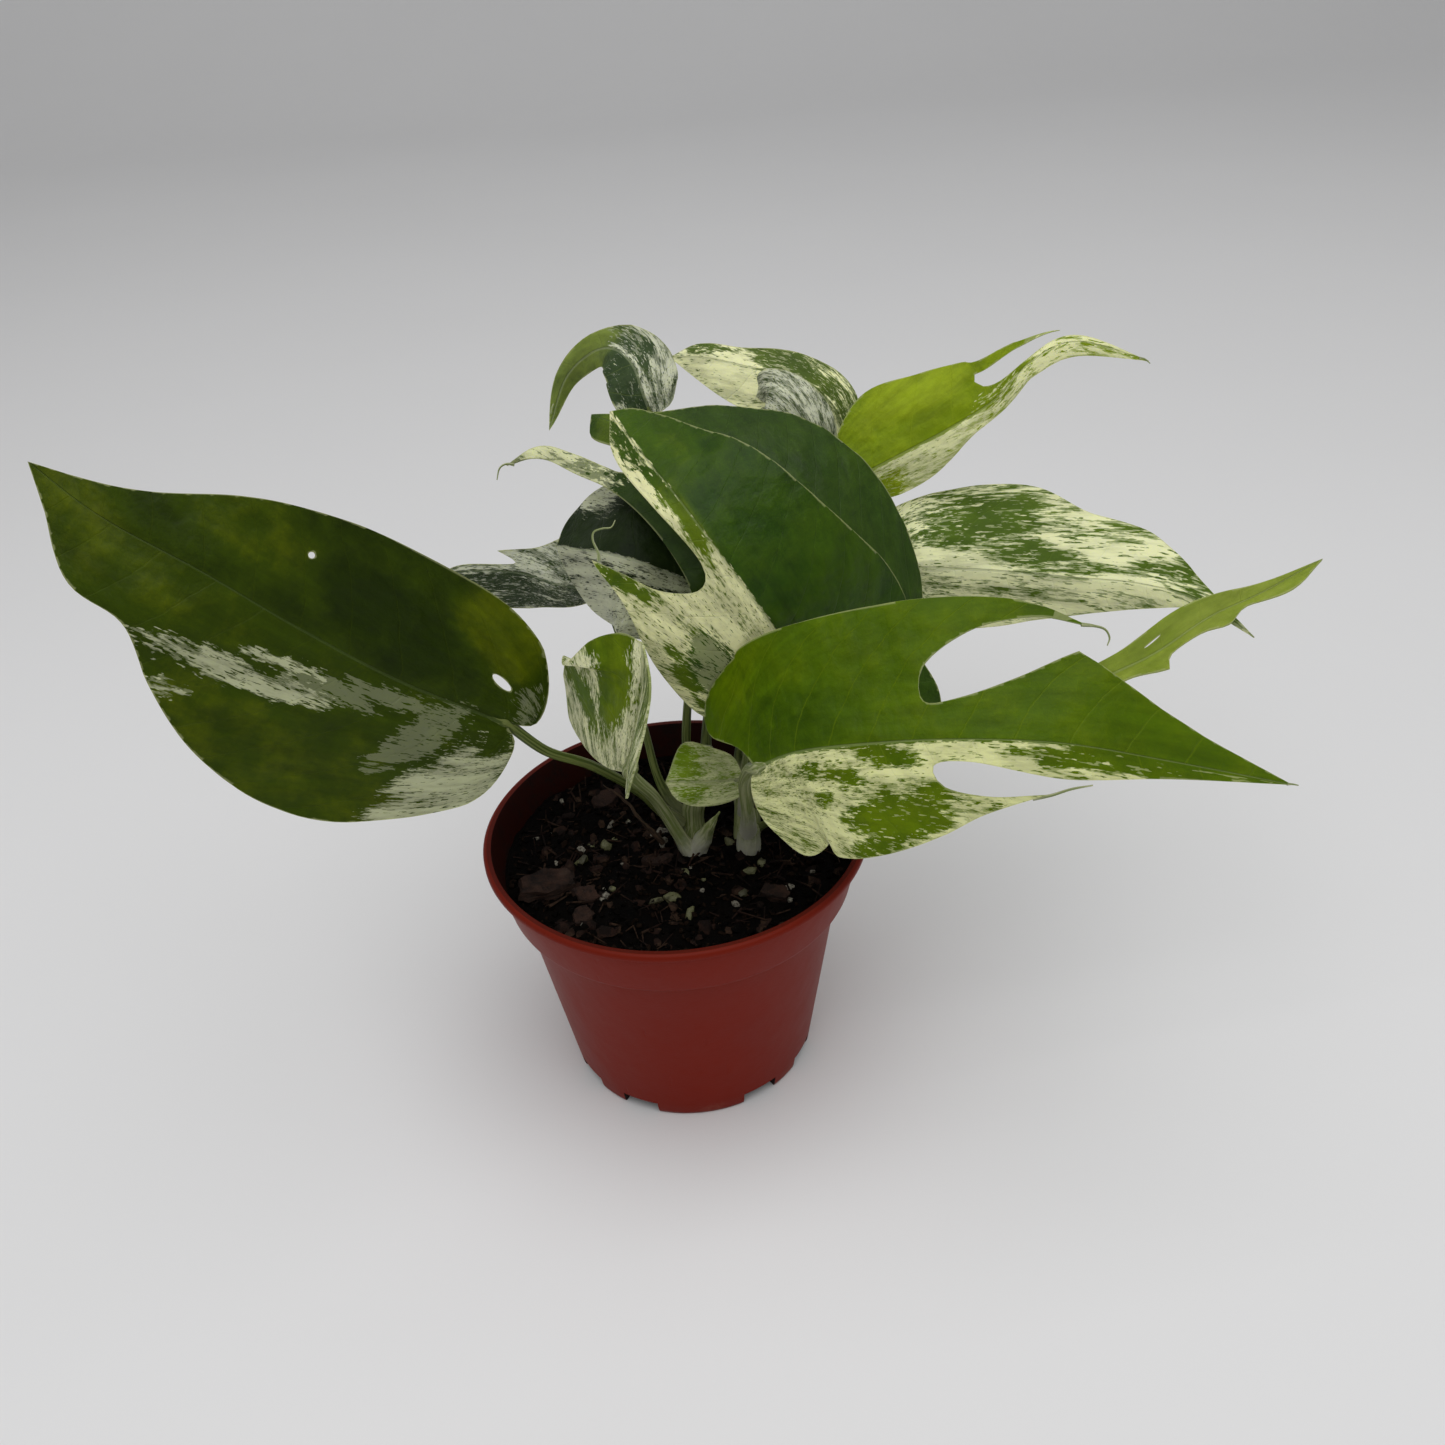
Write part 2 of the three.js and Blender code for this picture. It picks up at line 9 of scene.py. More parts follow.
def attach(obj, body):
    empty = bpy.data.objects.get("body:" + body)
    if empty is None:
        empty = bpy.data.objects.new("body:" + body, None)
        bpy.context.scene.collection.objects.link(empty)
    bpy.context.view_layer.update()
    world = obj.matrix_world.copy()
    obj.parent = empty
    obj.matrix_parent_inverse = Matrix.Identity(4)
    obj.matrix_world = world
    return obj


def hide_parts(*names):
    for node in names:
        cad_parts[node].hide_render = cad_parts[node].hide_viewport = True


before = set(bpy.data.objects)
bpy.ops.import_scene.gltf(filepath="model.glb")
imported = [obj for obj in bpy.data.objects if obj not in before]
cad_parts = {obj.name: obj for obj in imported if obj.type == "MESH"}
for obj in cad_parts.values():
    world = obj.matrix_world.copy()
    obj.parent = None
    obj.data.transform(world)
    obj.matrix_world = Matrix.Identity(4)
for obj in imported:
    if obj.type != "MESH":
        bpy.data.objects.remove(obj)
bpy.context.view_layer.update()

# ---- Camera ----
# It stands in front of the plant at about the height of a seated person's eyes over a table,
# and looks down at the pot through a moderately wide lens, leaning very slightly.

CAMERA_AT = (0, -0.3151, 0.3181)
CAMERA_DOWN = 0.5806
CAMERA_TURN = 0.048
CAMERA_LEAN = 0.0669
camera = bpy.data.objects.new("camera", bpy.data.cameras.new("camera"))
bpy.context.collection.objects.link(camera)
camera.data.lens = 35
camera.data.sensor_width = 36
camera.data.clip_start = 0.01
camera.matrix_world = (
    Matrix.Translation(CAMERA_AT)
    @ Matrix.Rotation(-CAMERA_TURN, 4, "Z")
    @ Matrix.Rotation(math.pi / 2 - CAMERA_DOWN, 4, "X")
    @ Matrix.Rotation(-CAMERA_LEAN, 4, "Z")
)
bpy.context.scene.camera = camera
bpy.context.scene.view_settings.view_transform = "Standard"

# ---- Studio ----
# A pale paper sweep runs flat under the pot and curves up behind it, lit from overhead by one wide soft
# lamp, with a faint even glow from all round.

SWEEP_HALF_WIDTH = 2.5
SWEEP_FRONT = -1.6
SWEEP_BACK = 1.5
SWEEP_CURVE = 0.7
SWEEP_WALL = 1.6
SWEEP_STEPS = 12
LAMP_AT = (0.03, -0.28, 1.25)
LAMP_AIM = (0, 0, 0.05)
ROOM_GLOW = 0.36


def node(tree, kind, inputs=None, **settings):
    """Adds one shader node. inputs maps a socket's name or number to a value, or to what feeds it."""
    made = tree.nodes.new("ShaderNode" + kind)
    for setting, value in settings.items():
        setattr(made, setting, value)
    for socket, value in (inputs or {}).items():
        if isinstance(value, bpy.types.NodeSocket):
            tree.links.new(value, made.inputs[socket])
        else:
            made.inputs[socket].default_value = value
    return made


def calc(tree, operation, *values):
    """The result of one Math node."""
    return node(tree, "Math", dict(enumerate(values)), operation=operation).outputs[0]


def blend_colour(tree, share, first, second):
    """A colour that goes from first to second as share goes from 0 to 1."""
    inputs = {0: share, 6: first, 7: second}
    return node(tree, "Mix", inputs, data_type="RGBA", clamp_factor=True).outputs[2]


def fade(tree, value, start, end, low=0.0, high=1.0):
    """A value that goes smoothly from low to high as the given one goes from start to end."""
    inputs = {"Value": value, "From Min": start, "From Max": end, "To Min": low, "To Max": high}
    return node(tree, "MapRange", inputs, interpolation_type="SMOOTHSTEP").outputs["Result"]


def speckle(tree, place, scale, detail=3.0, rough=0.55):
    """Cloudy noise, about 0 to 1 with 0.5 in the middle."""
    inputs = {"Vector": place, "Scale": scale, "Detail": detail, "Roughness": rough}
    return node(tree, "TexNoise", inputs).outputs[0]


def new_material(name, roughness=0.5, specular=0.5):
    """A material with its Principled shader, and the tree that colours it."""
    material = bpy.data.materials.new(name)
    material.use_nodes = True
    shader = material.node_tree.nodes["Principled BSDF"]
    shader.inputs["Roughness"].default_value = roughness
    shader.inputs["Specular IOR Level"].default_value = specular
    return material, material.node_tree, shader


def add_bump(tree, shader, height, distance, strength=1.0):
    """Feeds a height, with the distance in metres that 1 stands for, to the shader's normal."""
    inputs = {"Height": height, "Distance": distance, "Strength": strength}
    tree.links.new(node(tree, "Bump", inputs).outputs[0], shader.inputs["Normal"])


def object_place(tree):
    """The place on the piece in metres, as the pattern of a hard piece follows it."""
    return node(tree, "TexCoord").outputs["Object"]


def to_object(name, bm, material, crease=math.radians(40)):
    """Turns a bmesh into a smooth-shaded object, with every edge sharper than the crease kept crisp."""
    bm.normal_update()
    for edge in bm.edges:
        edge.smooth = len(edge.link_faces) != 2 or edge.calc_face_angle() < crease
    for face in bm.faces:
        face.smooth = True
    mesh = bpy.data.meshes.new(name)
    bm.to_mesh(mesh)
    bm.free()
    made = bpy.data.objects.new(name, mesh)
    made.data.materials.append(material)
    bpy.context.collection.objects.link(made)
    return made


paper, tree, shader = new_material("backdrop_paper", roughness=0.75, specular=0.25)
paper_cloud = speckle(tree, object_place(tree), 3)
paper_colour = blend_colour(tree, paper_cloud, (0.77, 0.77, 0.775, 1), (0.81, 0.81, 0.815, 1))
tree.links.new(paper_colour, shader.inputs["Base Color"])

bm = bmesh.new()
sweep_profile = [(SWEEP_FRONT, 0)]
for step in range(SWEEP_STEPS + 1):
    angle = math.pi / 2 * step / SWEEP_STEPS
    sweep_profile.append((SWEEP_BACK + SWEEP_CURVE * math.sin(angle), SWEEP_CURVE * (1 - math.cos(angle))))
sweep_profile.append((SWEEP_BACK + SWEEP_CURVE, SWEEP_WALL))
sweep_points = [bm.verts.new((-SWEEP_HALF_WIDTH, y, z)) for y, z in sweep_profile]
sweep_edges = [bm.edges.new(pair) for pair in zip(sweep_points, sweep_points[1:])]
sweep = bmesh.ops.extrude_edge_only(bm, edges=sweep_edges)
sweep_far = [item for item in sweep["geom"] if isinstance(item, bmesh.types.BMVert)]
bmesh.ops.translate(bm, verts=sweep_far, vec=(2 * SWEEP_HALF_WIDTH, 0, 0))
floor = to_object("backdrop", bm, paper)


def add_lamp(name, place, target, size, power):
    """A square soft lamp, turned to face a target."""
    lamp = bpy.data.objects.new(name, bpy.data.lights.new(name, "AREA"))
    lamp.data.size = size
    lamp.data.energy = power
    lamp.location = place
    lamp.rotation_euler = (Vector(target) - Vector(place)).to_track_quat("-Z", "Y").to_euler()
    bpy.context.collection.objects.link(lamp)


add_lamp("overhead_lamp", LAMP_AT, LAMP_AIM, size=1.5, power=12.5)

world = bpy.data.worlds.new("room")
world.use_nodes = True
world.node_tree.nodes["Background"].inputs["Color"].default_value = (1, 1, 1, 1)
world.node_tree.nodes["Background"].inputs["Strength"].default_value = ROOM_GLOW
bpy.context.scene.world = world

# ---- Pot ----
# A thin nursery pot, injection moulded in terracotta-coloured polypropylene. A straight band with a small
# rolled lip stacks over the tapered body, and notches cut in the foot let water out.

MM = 0.001
POT_HEIGHT = 78.5
RIM_RADIUS = 54
BAND_FOOT = 61.7
BAND_FOOT_RADIUS = 48.9
BAND_TOP_RADIUS = 52.8
SHOULDER_RADIUS = 45.5
FOOT_RADIUS = 35.7
WALL = 1.3
LIP_FOOT = 76.3
FOOT_RING = 5.2
NOTCH_SIZE = (10, 11, 9)
NOTCH_SPREAD = 29
POT_STEPS = 160


def pot_band_radius(height):
    """Outer radius of the band at a height in mm."""
    share = (height - BAND_FOOT) / (POT_HEIGHT - BAND_FOOT)
    return BAND_FOOT_RADIUS + (BAND_TOP_RADIUS - BAND_FOOT_RADIUS) * share


def new_group(name, inputs, outputs):
    """An empty shader group. inputs and outputs map each socket's name to its kind."""
    group = bpy.data.node_groups.new(name, "ShaderNodeTree")
    for sockets, way in ((inputs, "INPUT"), (outputs, "OUTPUT")):
        for socket, kind in sockets.items():
            group.interface.new_socket(socket, in_out=way, socket_type="NodeSocket" + kind)
    given = group.nodes.new("NodeGroupInput").outputs
    result = group.nodes.new("NodeGroupOutput").inputs
    return group, given, result


def use_group(tree, group, inputs):
    """Places a group in a material with its own values, and gives back its outputs."""
    placed = node(tree, "Group", node_tree=group)
    for socket, value in inputs.items():
        if isinstance(value, bpy.types.NodeSocket):
            tree.links.new(value, placed.inputs[socket])
        else:
            placed.inputs[socket].default_value = value
    return placed.outputs


# Soil dust and water marks: cloudy patches that gather where the Amount is high.
dirt, given, result = new_group(
    "dirt", {"Place": "Vector", "Scale": "Float", "Amount": "Float"}, {"Mask": "Float"}
)
dirt_cloud = speckle(dirt, given["Place"], given["Scale"], detail=6, rough=0.65)
dirt_grain = speckle(dirt, given["Place"], calc(dirt, "MULTIPLY", given["Scale"], 9), detail=2)
dirt_level = calc(dirt, "ADD", calc(dirt, "MULTIPLY_ADD", dirt_grain, 0.35, dirt_cloud), given["Amount"])
dirt.links.new(fade(dirt, dirt_level, 1.0, 1.25), result["Mask"])


def cut_away(solid, cutter):
    """Cuts one closed bmesh out of another, and gives back what is left."""
    pair = []
    for piece in (solid, cutter):
        mesh = bpy.data.meshes.new("cut")
        piece.to_mesh(mesh)
        piece.free()
        pair.append(bpy.data.objects.new("cut", mesh))
        bpy.context.collection.objects.link(pair[-1])
    kept, tool = pair
    boolean = kept.modifiers.new("cut", "BOOLEAN")
    boolean.object = tool
    boolean.solver = "EXACT"
    left = bmesh.new()
    left.from_object(kept, bpy.context.evaluated_depsgraph_get())
    for piece in pair:
        bpy.data.meshes.remove(piece.data)
    return left


def spin_profile(bm, profile, steps):
    """Spins a profile of radius and height in mm, with both ends on the axis, into a closed solid."""
    points = [bm.verts.new((radius * MM, 0, z * MM)) for radius, z in profile]
    edges = [bm.edges.new(pair) for pair in zip(points, points[1:])]
    bmesh.ops.spin(
        bm, geom=points + edges, axis=(0, 0, 1), cent=(0, 0, 0), angle=2 * math.pi, steps=steps,
        use_merge=True,
    )
    bmesh.ops.remove_doubles(bm, verts=bm.verts, dist=0.01 * MM)
    bmesh.ops.recalc_face_normals(bm, faces=bm.faces)


bm = bmesh.new()
pot_profile = [
    (0, 0.4),
    (FOOT_RADIUS - 5, 0.4),
    (FOOT_RADIUS - 4, 0),
    (FOOT_RADIUS - 0.8, 0),
    (FOOT_RADIUS - 0.1, 0.5),
    (FOOT_RADIUS + 0.3, 1.6),
    (FOOT_RADIUS + 0.89, FOOT_RING),
    (SHOULDER_RADIUS - 0.2, BAND_FOOT - 3),
    (SHOULDER_RADIUS + 0.6, BAND_FOOT - 1.4),
    (BAND_FOOT_RADIUS - 0.9, BAND_FOOT - 0.5),
    (BAND_FOOT_RADIUS - 0.2, BAND_FOOT),
    (BAND_FOOT_RADIUS + 0.15, BAND_FOOT + 0.8),
    (pot_band_radius(LIP_FOOT - 0.8), LIP_FOOT - 0.8),
    (RIM_RADIUS - 0.5, LIP_FOOT - 0.1),
    (RIM_RADIUS, LIP_FOOT + 0.4),
    (RIM_RADIUS, POT_HEIGHT - 0.7),
    (RIM_RADIUS - 0.5, POT_HEIGHT - 0.1),
    (RIM_RADIUS - 1, POT_HEIGHT),
    (BAND_TOP_RADIUS - WALL + 0.3, POT_HEIGHT),
    (BAND_TOP_RADIUS - WALL, POT_HEIGHT - 0.5),
    (BAND_FOOT_RADIUS - WALL, BAND_FOOT + WALL),
    (SHOULDER_RADIUS - WALL, BAND_FOOT),
    (FOOT_RADIUS - WALL + 0.63, FOOT_RING),
    (FOOT_RADIUS - WALL, WALL),
    (0, WALL),
]
spin_profile(bm, pot_profile, POT_STEPS)

notches = bmesh.new()
for foot in (0, 90, 180, 270):
    for aside in (-NOTCH_SPREAD, NOTCH_SPREAD):
        turn = Matrix.Rotation(math.radians(foot + aside), 4, "Z")
        place = turn @ Matrix.Translation((FOOT_RADIUS * MM, 0, 0)) @ Matrix.Diagonal((*NOTCH_SIZE, 1))
        bmesh.ops.create_cube(notches, size=MM, matrix=place)
bm = cut_away(bm, notches)

# The body of the wall is a touch out of round, as thin mouldings are.
for vert in bm.verts:
    height_share = vert.co.z / (POT_HEIGHT * MM)
    swell = 1 + 0.004 * height_share * noise.noise(vert.co * 22)
    vert.co.x *= swell
    vert.co.y *= swell

pot_plastic, tree, shader = new_material("pot_plastic", specular=0.08)
place = object_place(tree)
parts = node(tree, "SeparateXYZ", {0: place}).outputs
height = calc(tree, "DIVIDE", parts[2], POT_HEIGHT * MM)
# The inside of the wall faces the axis.
outwards = node(tree, "CombineXYZ", {0: parts[0], 1: parts[1]}).outputs[0]
wall_normal = node(tree, "NewGeometry").outputs["True Normal"]
facing = node(tree, "VectorMath", {0: wall_normal, 1: outwards}, operation="DOT_PRODUCT").outputs["Value"]
inside = fade(tree, facing, 0.004, -0.004)
stretched = node(tree, "Mapping", {"Vector": place, "Scale": (1, 1, 0.7)}).outputs[0]
flow = speckle(tree, stretched, 60, detail=4)
fresh = blend_colour(tree, flow, (0.165, 0.008, 0.001, 1), (0.19, 0.01, 0.0015, 1))
# The colour darkens towards the top edge of the rim.
rim_top_share = fade(tree, height, 0.972, 1.0)
rim_darkened = blend_colour(tree, calc(tree, "MULTIPLY", rim_top_share, 0.5), fresh, (0.1, 0.012, 0.006, 1))
low_down = fade(tree, height, 0.16, 0.0, high=0.33)
dust_amount = calc(tree, "ADD", low_down, 0.02)
outer_dirt = use_group(tree, dirt, {"Place": place, "Scale": 55, "Amount": dust_amount})
dusty = blend_colour(tree, calc(tree, "MULTIPLY", outer_dirt["Mask"], 0.25), rim_darkened, (0.34, 0.2, 0.15, 1))
# The inside of the wall is painted near black. This is painted shade over the plastic, with the dirt group's
# smears of soil in it.
soil_marks = use_group(tree, dirt, {"Place": place, "Scale": 110, "Amount": 0.34})
inside_shade_and_soil = blend_colour(tree, calc(tree, "MULTIPLY", soil_marks["Mask"], 0.85), (0.02, 0.0035, 0.002, 1),
                      (0.008, 0.006, 0.005, 1))
tree.links.new(blend_colour(tree, inside, dusty, inside_shade_and_soil), shader.inputs["Base Color"])
pot_rough = calc(tree, "MULTIPLY_ADD", flow, 0.14, calc(tree, "MULTIPLY_ADD", outer_dirt["Mask"], 0.2, 0.36))
tree.links.new(pot_rough, shader.inputs["Roughness"])
ripple = speckle(tree, stretched, 130, detail=2)
pimple = speckle(tree, place, 1500, detail=1)
drawn_out = {"Vector": place, "Rotation": (0.3, 0.2, 0), "Scale": (1, 1, 0.05)}
scuff_place = node(tree, "Mapping", drawn_out).outputs[0]
scuffs = node(tree, "TexNoise", {"Vector": scuff_place, "Scale": 420, "Detail": 1.0}).outputs[0]
scratch = fade(tree, scuffs, 0.72, 0.8)
grained = calc(tree, "MULTIPLY_ADD", pimple, 0.12, ripple)
relief = calc(tree, "SUBTRACT", grained, calc(tree, "MULTIPLY", scratch, 0.2))
add_bump(tree, shader, relief, 0.0004, 0.6)

pot = to_object("nursery_pot", bm, pot_plastic, crease=math.radians(50))
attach(pot, "root")
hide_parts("pot")

# ---- Potting mix ----
# Damp peat fills the pot to a centimetre below the lip and is heaped a little round the stems. Its colour is
# painted near black for the shade that lies over the mix. Crumbs, bark fibre, perlite and shreds of old leaf
# lie loose in its surface.

SOIL_LEVEL = 69
SOIL_CROWN = 2.5
SOIL_STEPS = 150
SOIL_RINGS = 54
SOIL_RADIUS = pot_band_radius(SOIL_LEVEL) - WALL - 0.25
FIBRES = 330
FIBRE_LENGTH = (2.5, 9)
FIBRE_RADIUS = (0.14, 0.42)
LUMP_SEED = 7


def soil_height(x, y):
    """Height of the mix in mm at a place in mm, lumps and all."""
    out = min(1, math.hypot(x, y) / SOIL_RADIUS)
    lumps = noise.noise((x / 9, y / 9, 3)) * 1.1 + noise.noise((x / 3.2, y / 3.2, 7)) * 0.75
    crumbs = noise.noise((x / 1.3, y / 1.3, 1)) * 0.45
    return SOIL_LEVEL + SOIL_CROWN * (1 - out * out) + lumps + crumbs - 0.6


bm = bmesh.new()
soil_profile = [(SOIL_RADIUS * ring / SOIL_RINGS, SOIL_LEVEL) for ring in range(SOIL_RINGS + 1)]
soil_profile.append((SHOULDER_RADIUS - WALL - 0.5, BAND_FOOT))
soil_profile.append((0, BAND_FOOT))
spin_profile(bm, soil_profile, SOIL_STEPS)
for vert in bm.verts:
    if vert.co.z > (SOIL_LEVEL - 1) * MM:
        vert.co.z = soil_height(vert.co.x / MM, vert.co.y / MM) * MM

peat, tree, shader = new_material("peat", roughness=0.9, specular=0.04)
place = object_place(tree)
peat_cloud = speckle(tree, place, 260, detail=6, rough=0.7)
# Painted shade: the peat is set far darker than peat is, to stand for the shade over the mix.
shaded_peat_colour = blend_colour(tree, fade(tree, peat_cloud, 0.35, 0.7), (0.0012, 0.001, 0.0008, 1),
                           (0.0035, 0.0022, 0.0016, 1))
tree.links.new(shaded_peat_colour, shader.inputs["Base Color"])
damp = fade(tree, speckle(tree, place, 90), 0.4, 0.65, low=0.55, high=0.95)
tree.links.new(damp, shader.inputs["Roughness"])
add_bump(tree, shader, speckle(tree, place, 1100, detail=5, rough=0.7), 0.0012)

mix = to_object("potting_mix_surface", bm, peat)
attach(mix, "root")
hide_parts("potting_mix")


def lying_place(rng, sink, reach=0.97):
    """A random place on the mix, pressed a little into it, turned and tilted at random."""
    out = SOIL_RADIUS * reach * math.sqrt(rng.random())
    angle = rng.uniform(0, 2 * math.pi)
    x, y = out * math.cos(angle), out * math.sin(angle)
    tilt = Matrix.Rotation(rng.gauss(0, 0.3), 4, "X") @ Matrix.Rotation(rng.gauss(0, 0.3), 4, "Y")
    at = Vector((x, y, soil_height(x, y) + sink)) * MM
    return Matrix.Translation(at) @ tilt @ Matrix.Rotation(rng.uniform(0, 2 * math.pi), 4, "Z")


# Vector noise starts from the clock unless it is given a seed, and the lumps would differ on each run.
noise.seed_set(LUMP_SEED)


def roughen(verts, amount, scale):
    """Pushes the points of a lump in and out."""
    for vert in verts:
        vert.co += noise.noise_vector(vert.co / (scale * MM)) * amount * MM


def strew_lumps(name, count, sizes, flatness, material, seed, finer=1, reach=0.97):
    """Lumps of one kind strewn over the mix: sizes is their least and greatest radius in mm."""
    rng = random.Random(seed)
    bm = bmesh.new()
    for _ in range(count):
        radius = rng.uniform(*sizes) * rng.uniform(0.6, 1)
        shape = Matrix.Diagonal((rng.uniform(0.8, 1.5), rng.uniform(0.6, 1), flatness, 1))
        at = lying_place(rng, radius * flatness * 0.35, reach)
        lump = bmesh.ops.create_icosphere(bm, subdivisions=finer, radius=radius * MM, matrix=at @ shape)
        roughen(lump["verts"], radius * 0.45, radius * 0.9)
    made = to_object(name, bm, material, crease=math.radians(55))
    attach(made, "root")


def piece_colour(tree, place, spread, *colours):
    """Each loose piece takes about one tone, picked by broad noise from a few colours."""
    tone = speckle(tree, place, spread, detail=1)
    colour = colours[0]
    for step, following in enumerate(colours[1:]):
        edge = 0.5 + (step - (len(colours) - 2) / 2) * 0.11
        colour = blend_colour(tree, fade(tree, tone, edge - 0.02, edge + 0.02), colour, following)
    return colour


crumb, tree, shader = new_material("peat_crumb", roughness=0.9, specular=0.04)
place = object_place(tree)
# Painted shade: the crumbs are set as dark as the peat around them, for the same shade over the mix.
shaded_crumb_colour = piece_colour(tree, place, 330, (0.0014, 0.0011, 0.0009, 1), (0.0022, 0.0015, 0.001, 1),
                            (0.009, 0.005, 0.003, 1))
tree.links.new(shaded_crumb_colour, shader.inputs["Base Color"])
add_bump(tree, shader, speckle(tree, place, 1700, detail=4), 0.0005)
strew_lumps("peat_crumbs", 1500, (0.5, 1.5), 0.75, crumb, seed=11)

bark_fibre, tree, shader = new_material("bark_fibre", roughness=0.85, specular=0.1)
place = object_place(tree)
bark_grain = speckle(tree, place, 900, detail=5, rough=0.65)
bark_tone = piece_colour(tree, place, 160, (0.006, 0.003, 0.002, 1), (0.018, 0.008, 0.005, 1),
                         (0.035, 0.019, 0.011, 1))
bark_colour = blend_colour(tree, fade(tree, bark_grain, 0.35, 0.75), bark_tone, (0.007, 0.004, 0.003, 1))
tree.links.new(bark_colour, shader.inputs["Base Color"])
add_bump(tree, shader, bark_grain, 0.0007)
strew_lumps("bark_crumbs", 190, (1.2, 3), 0.35, bark_fibre, seed=5)

perlite, tree, shader = new_material("perlite", roughness=0.8, specular=0.2)
place = object_place(tree)
perlite_pits = speckle(tree, place, 1400, detail=3)
perlite_colour = blend_colour(tree, fade(tree, perlite_pits, 0.3, 0.62), (0.05, 0.042, 0.03, 1),
                              (0.2, 0.185, 0.15, 1))
tree.links.new(perlite_colour, shader.inputs["Base Color"])
add_bump(tree, shader, perlite_pits, 0.0006)
strew_lumps("perlite_grains", 34, (0.7, 1.6), 0.9, perlite, seed=21, finer=2, reach=0.9)

old_leaf, tree, shader = new_material("old_leaf_shreds", roughness=0.6)
place = object_place(tree)
shred_colour = piece_colour(tree, place, 120, (0.03, 0.027, 0.008, 1), (0.08, 0.08, 0.03, 1))
tree.links.new(shred_colour, shader.inputs["Base Color"])
add_bump(tree, shader, speckle(tree, place, 1200), 0.0004)
strew_lumps("old_leaf_shreds", 20, (1.2, 2.8), 0.6, old_leaf, seed=8, finer=2, reach=0.6)

rng = random.Random(31)
bm = bmesh.new()
for _ in range(FIBRES):
    length = rng.uniform(*FIBRE_LENGTH)
    radius = rng.uniform(*FIBRE_RADIUS)
    at = lying_place(rng, 0.5, reach=0.93) @ Matrix.Rotation(math.pi / 2 + rng.gauss(0, 0.16), 4, "Y")
    made_before = len(bm.verts)
    bmesh.ops.create_cone(bm, cap_ends=True, segments=5, radius1=radius * MM, radius2=radius * 0.5 * MM,
                          depth=length * MM, matrix=at)
    # Points made since the last index_update have the index -1.
    lengthwise = [edge for edge in bm.edges if edge.verts[0].index == -1 and edge.calc_length() > 2 * MM]
    bmesh.ops.subdivide_edges(bm, edges=lengthwise, cuts=3)
    bm.verts.ensure_lookup_table()
    bm.verts.index_update()
    roughen(bm.verts[made_before:], 0.5, 3.5)
fibres = to_object("peat_fibres", bm, bark_fibre)
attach(fibres, "root")

# ---- Bark chips ----
# Seven big flakes of composted bark lie loose on the mix. Each is a torn plate a few millimetres thick,
# split in layers along its edge.

CHIPS = [
    {"at": (-37, -11), "size": (18, 12, 4), "turn": 20, "tilt": 5},
    {"at": (-26, -17), "size": (9, 6, 3), "turn": -35, "tilt": 8},
    {"at": (-27, -25), "size": (8, 6, 2.5), "turn": 50, "tilt": -6},
    {"at": (-6, -6), "size": (10, 5, 3), "turn": 10, "tilt": 5},
    {"at": (25, -24), "size": (9, 6, 3), "turn": -20, "tilt": 7},
    {"at": (38, 12), "size": (11, 6, 3), "turn": 70, "tilt": 5},
    {"at": (-20, 26), "size": (12, 7, 3), "turn": 35, "tilt": -5},
]
CHIP_OUTLINE = [(-0.5, -0.2), (-0.1, -0.5), (0.42, -0.38), (0.5, 0.15), (0.1, 0.5), (-0.38, 0.36)]
CHIP_REACH = 9

bark, tree, shader = new_material("bark_chip", roughness=0.8, specular=0.15)
place = object_place(tree)
layers = node(tree, "Mapping", {"Vector": place, "Scale": (1, 1, 7)}).outputs[0]
bark_layers = speckle(tree, layers, 190, detail=6, rough=0.7)
bark_colour = blend_colour(tree, fade(tree, bark_layers, 0.3, 0.7), (0.005, 0.003, 0.0022, 1),
                           (0.034, 0.016, 0.01, 1))
ashen = fade(tree, speckle(tree, place, 70, detail=4), 0.58, 0.72, high=0.5)
tree.links.new(blend_colour(tree, ashen, bark_colour, (0.045, 0.03, 0.022, 1)), shader.inputs["Base Color"])
add_bump(tree, shader, bark_layers, 0.0012)

for index, chip in enumerate(CHIPS):
    length, width, thick = chip["size"]
    bm = bmesh.new()
    bm.faces.new([bm.verts.new((u * length * MM, v * width * MM, 0)) for u, v in CHIP_OUTLINE])
    bmesh.ops.subdivide_edges(bm, edges=bm.edges, cuts=4)
    plate = bmesh.ops.extrude_face_region(bm, geom=bm.faces[:] + bm.edges[:], use_keep_orig=True)
    upper = [item for item in plate["geom"] if isinstance(item, bmesh.types.BMVert)]
    bmesh.ops.translate(bm, verts=upper, vec=(0, 0, thick * 0.62 * MM))
    bmesh.ops.scale(bm, verts=upper, vec=(0.88, 0.88, 1))
    # Cuts a millimetre apart, and two between the faces, leave enough points for a crumbled surface.
    for cut in range(-CHIP_REACH, CHIP_REACH + 1):
        for axis in ((1, 0, 0), (0, 1, 0)):
            bmesh.ops.bisect_plane(bm, geom=bm.verts[:] + bm.edges[:] + bm.faces[:],
                                   plane_co=Vector(axis) * cut * MM, plane_no=axis)
    for level in (0.2, 0.4):
        bmesh.ops.bisect_plane(bm, geom=bm.verts[:] + bm.edges[:] + bm.faces[:],
                               plane_co=(0, 0, thick * level * MM), plane_no=(0, 0, 1))
    bmesh.ops.remove_doubles(bm, verts=bm.verts, dist=0.05 * MM)
    bmesh.ops.recalc_face_normals(bm, faces=bm.faces)
    x, y = chip["at"]
    place = Matrix.Translation(Vector((x, y, soil_height(x, y) - 0.2)) * MM)
    turn = Matrix.Rotation(math.radians(chip["turn"]), 4, "Z")
    tilt = Matrix.Rotation(math.radians(chip["tilt"]), 4, "Y")
    bmesh.ops.transform(bm, matrix=place @ turn @ tilt, verts=bm.verts)
    roughen(bm.verts, 0.9, 4)
    roughen(bm.verts, 0.45, 1.4)
    flake = to_object(f"bark_flake_{index + 1}", bm, bark)
    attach(flake, "root")
    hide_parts(f"bark_chip_{index + 1}")

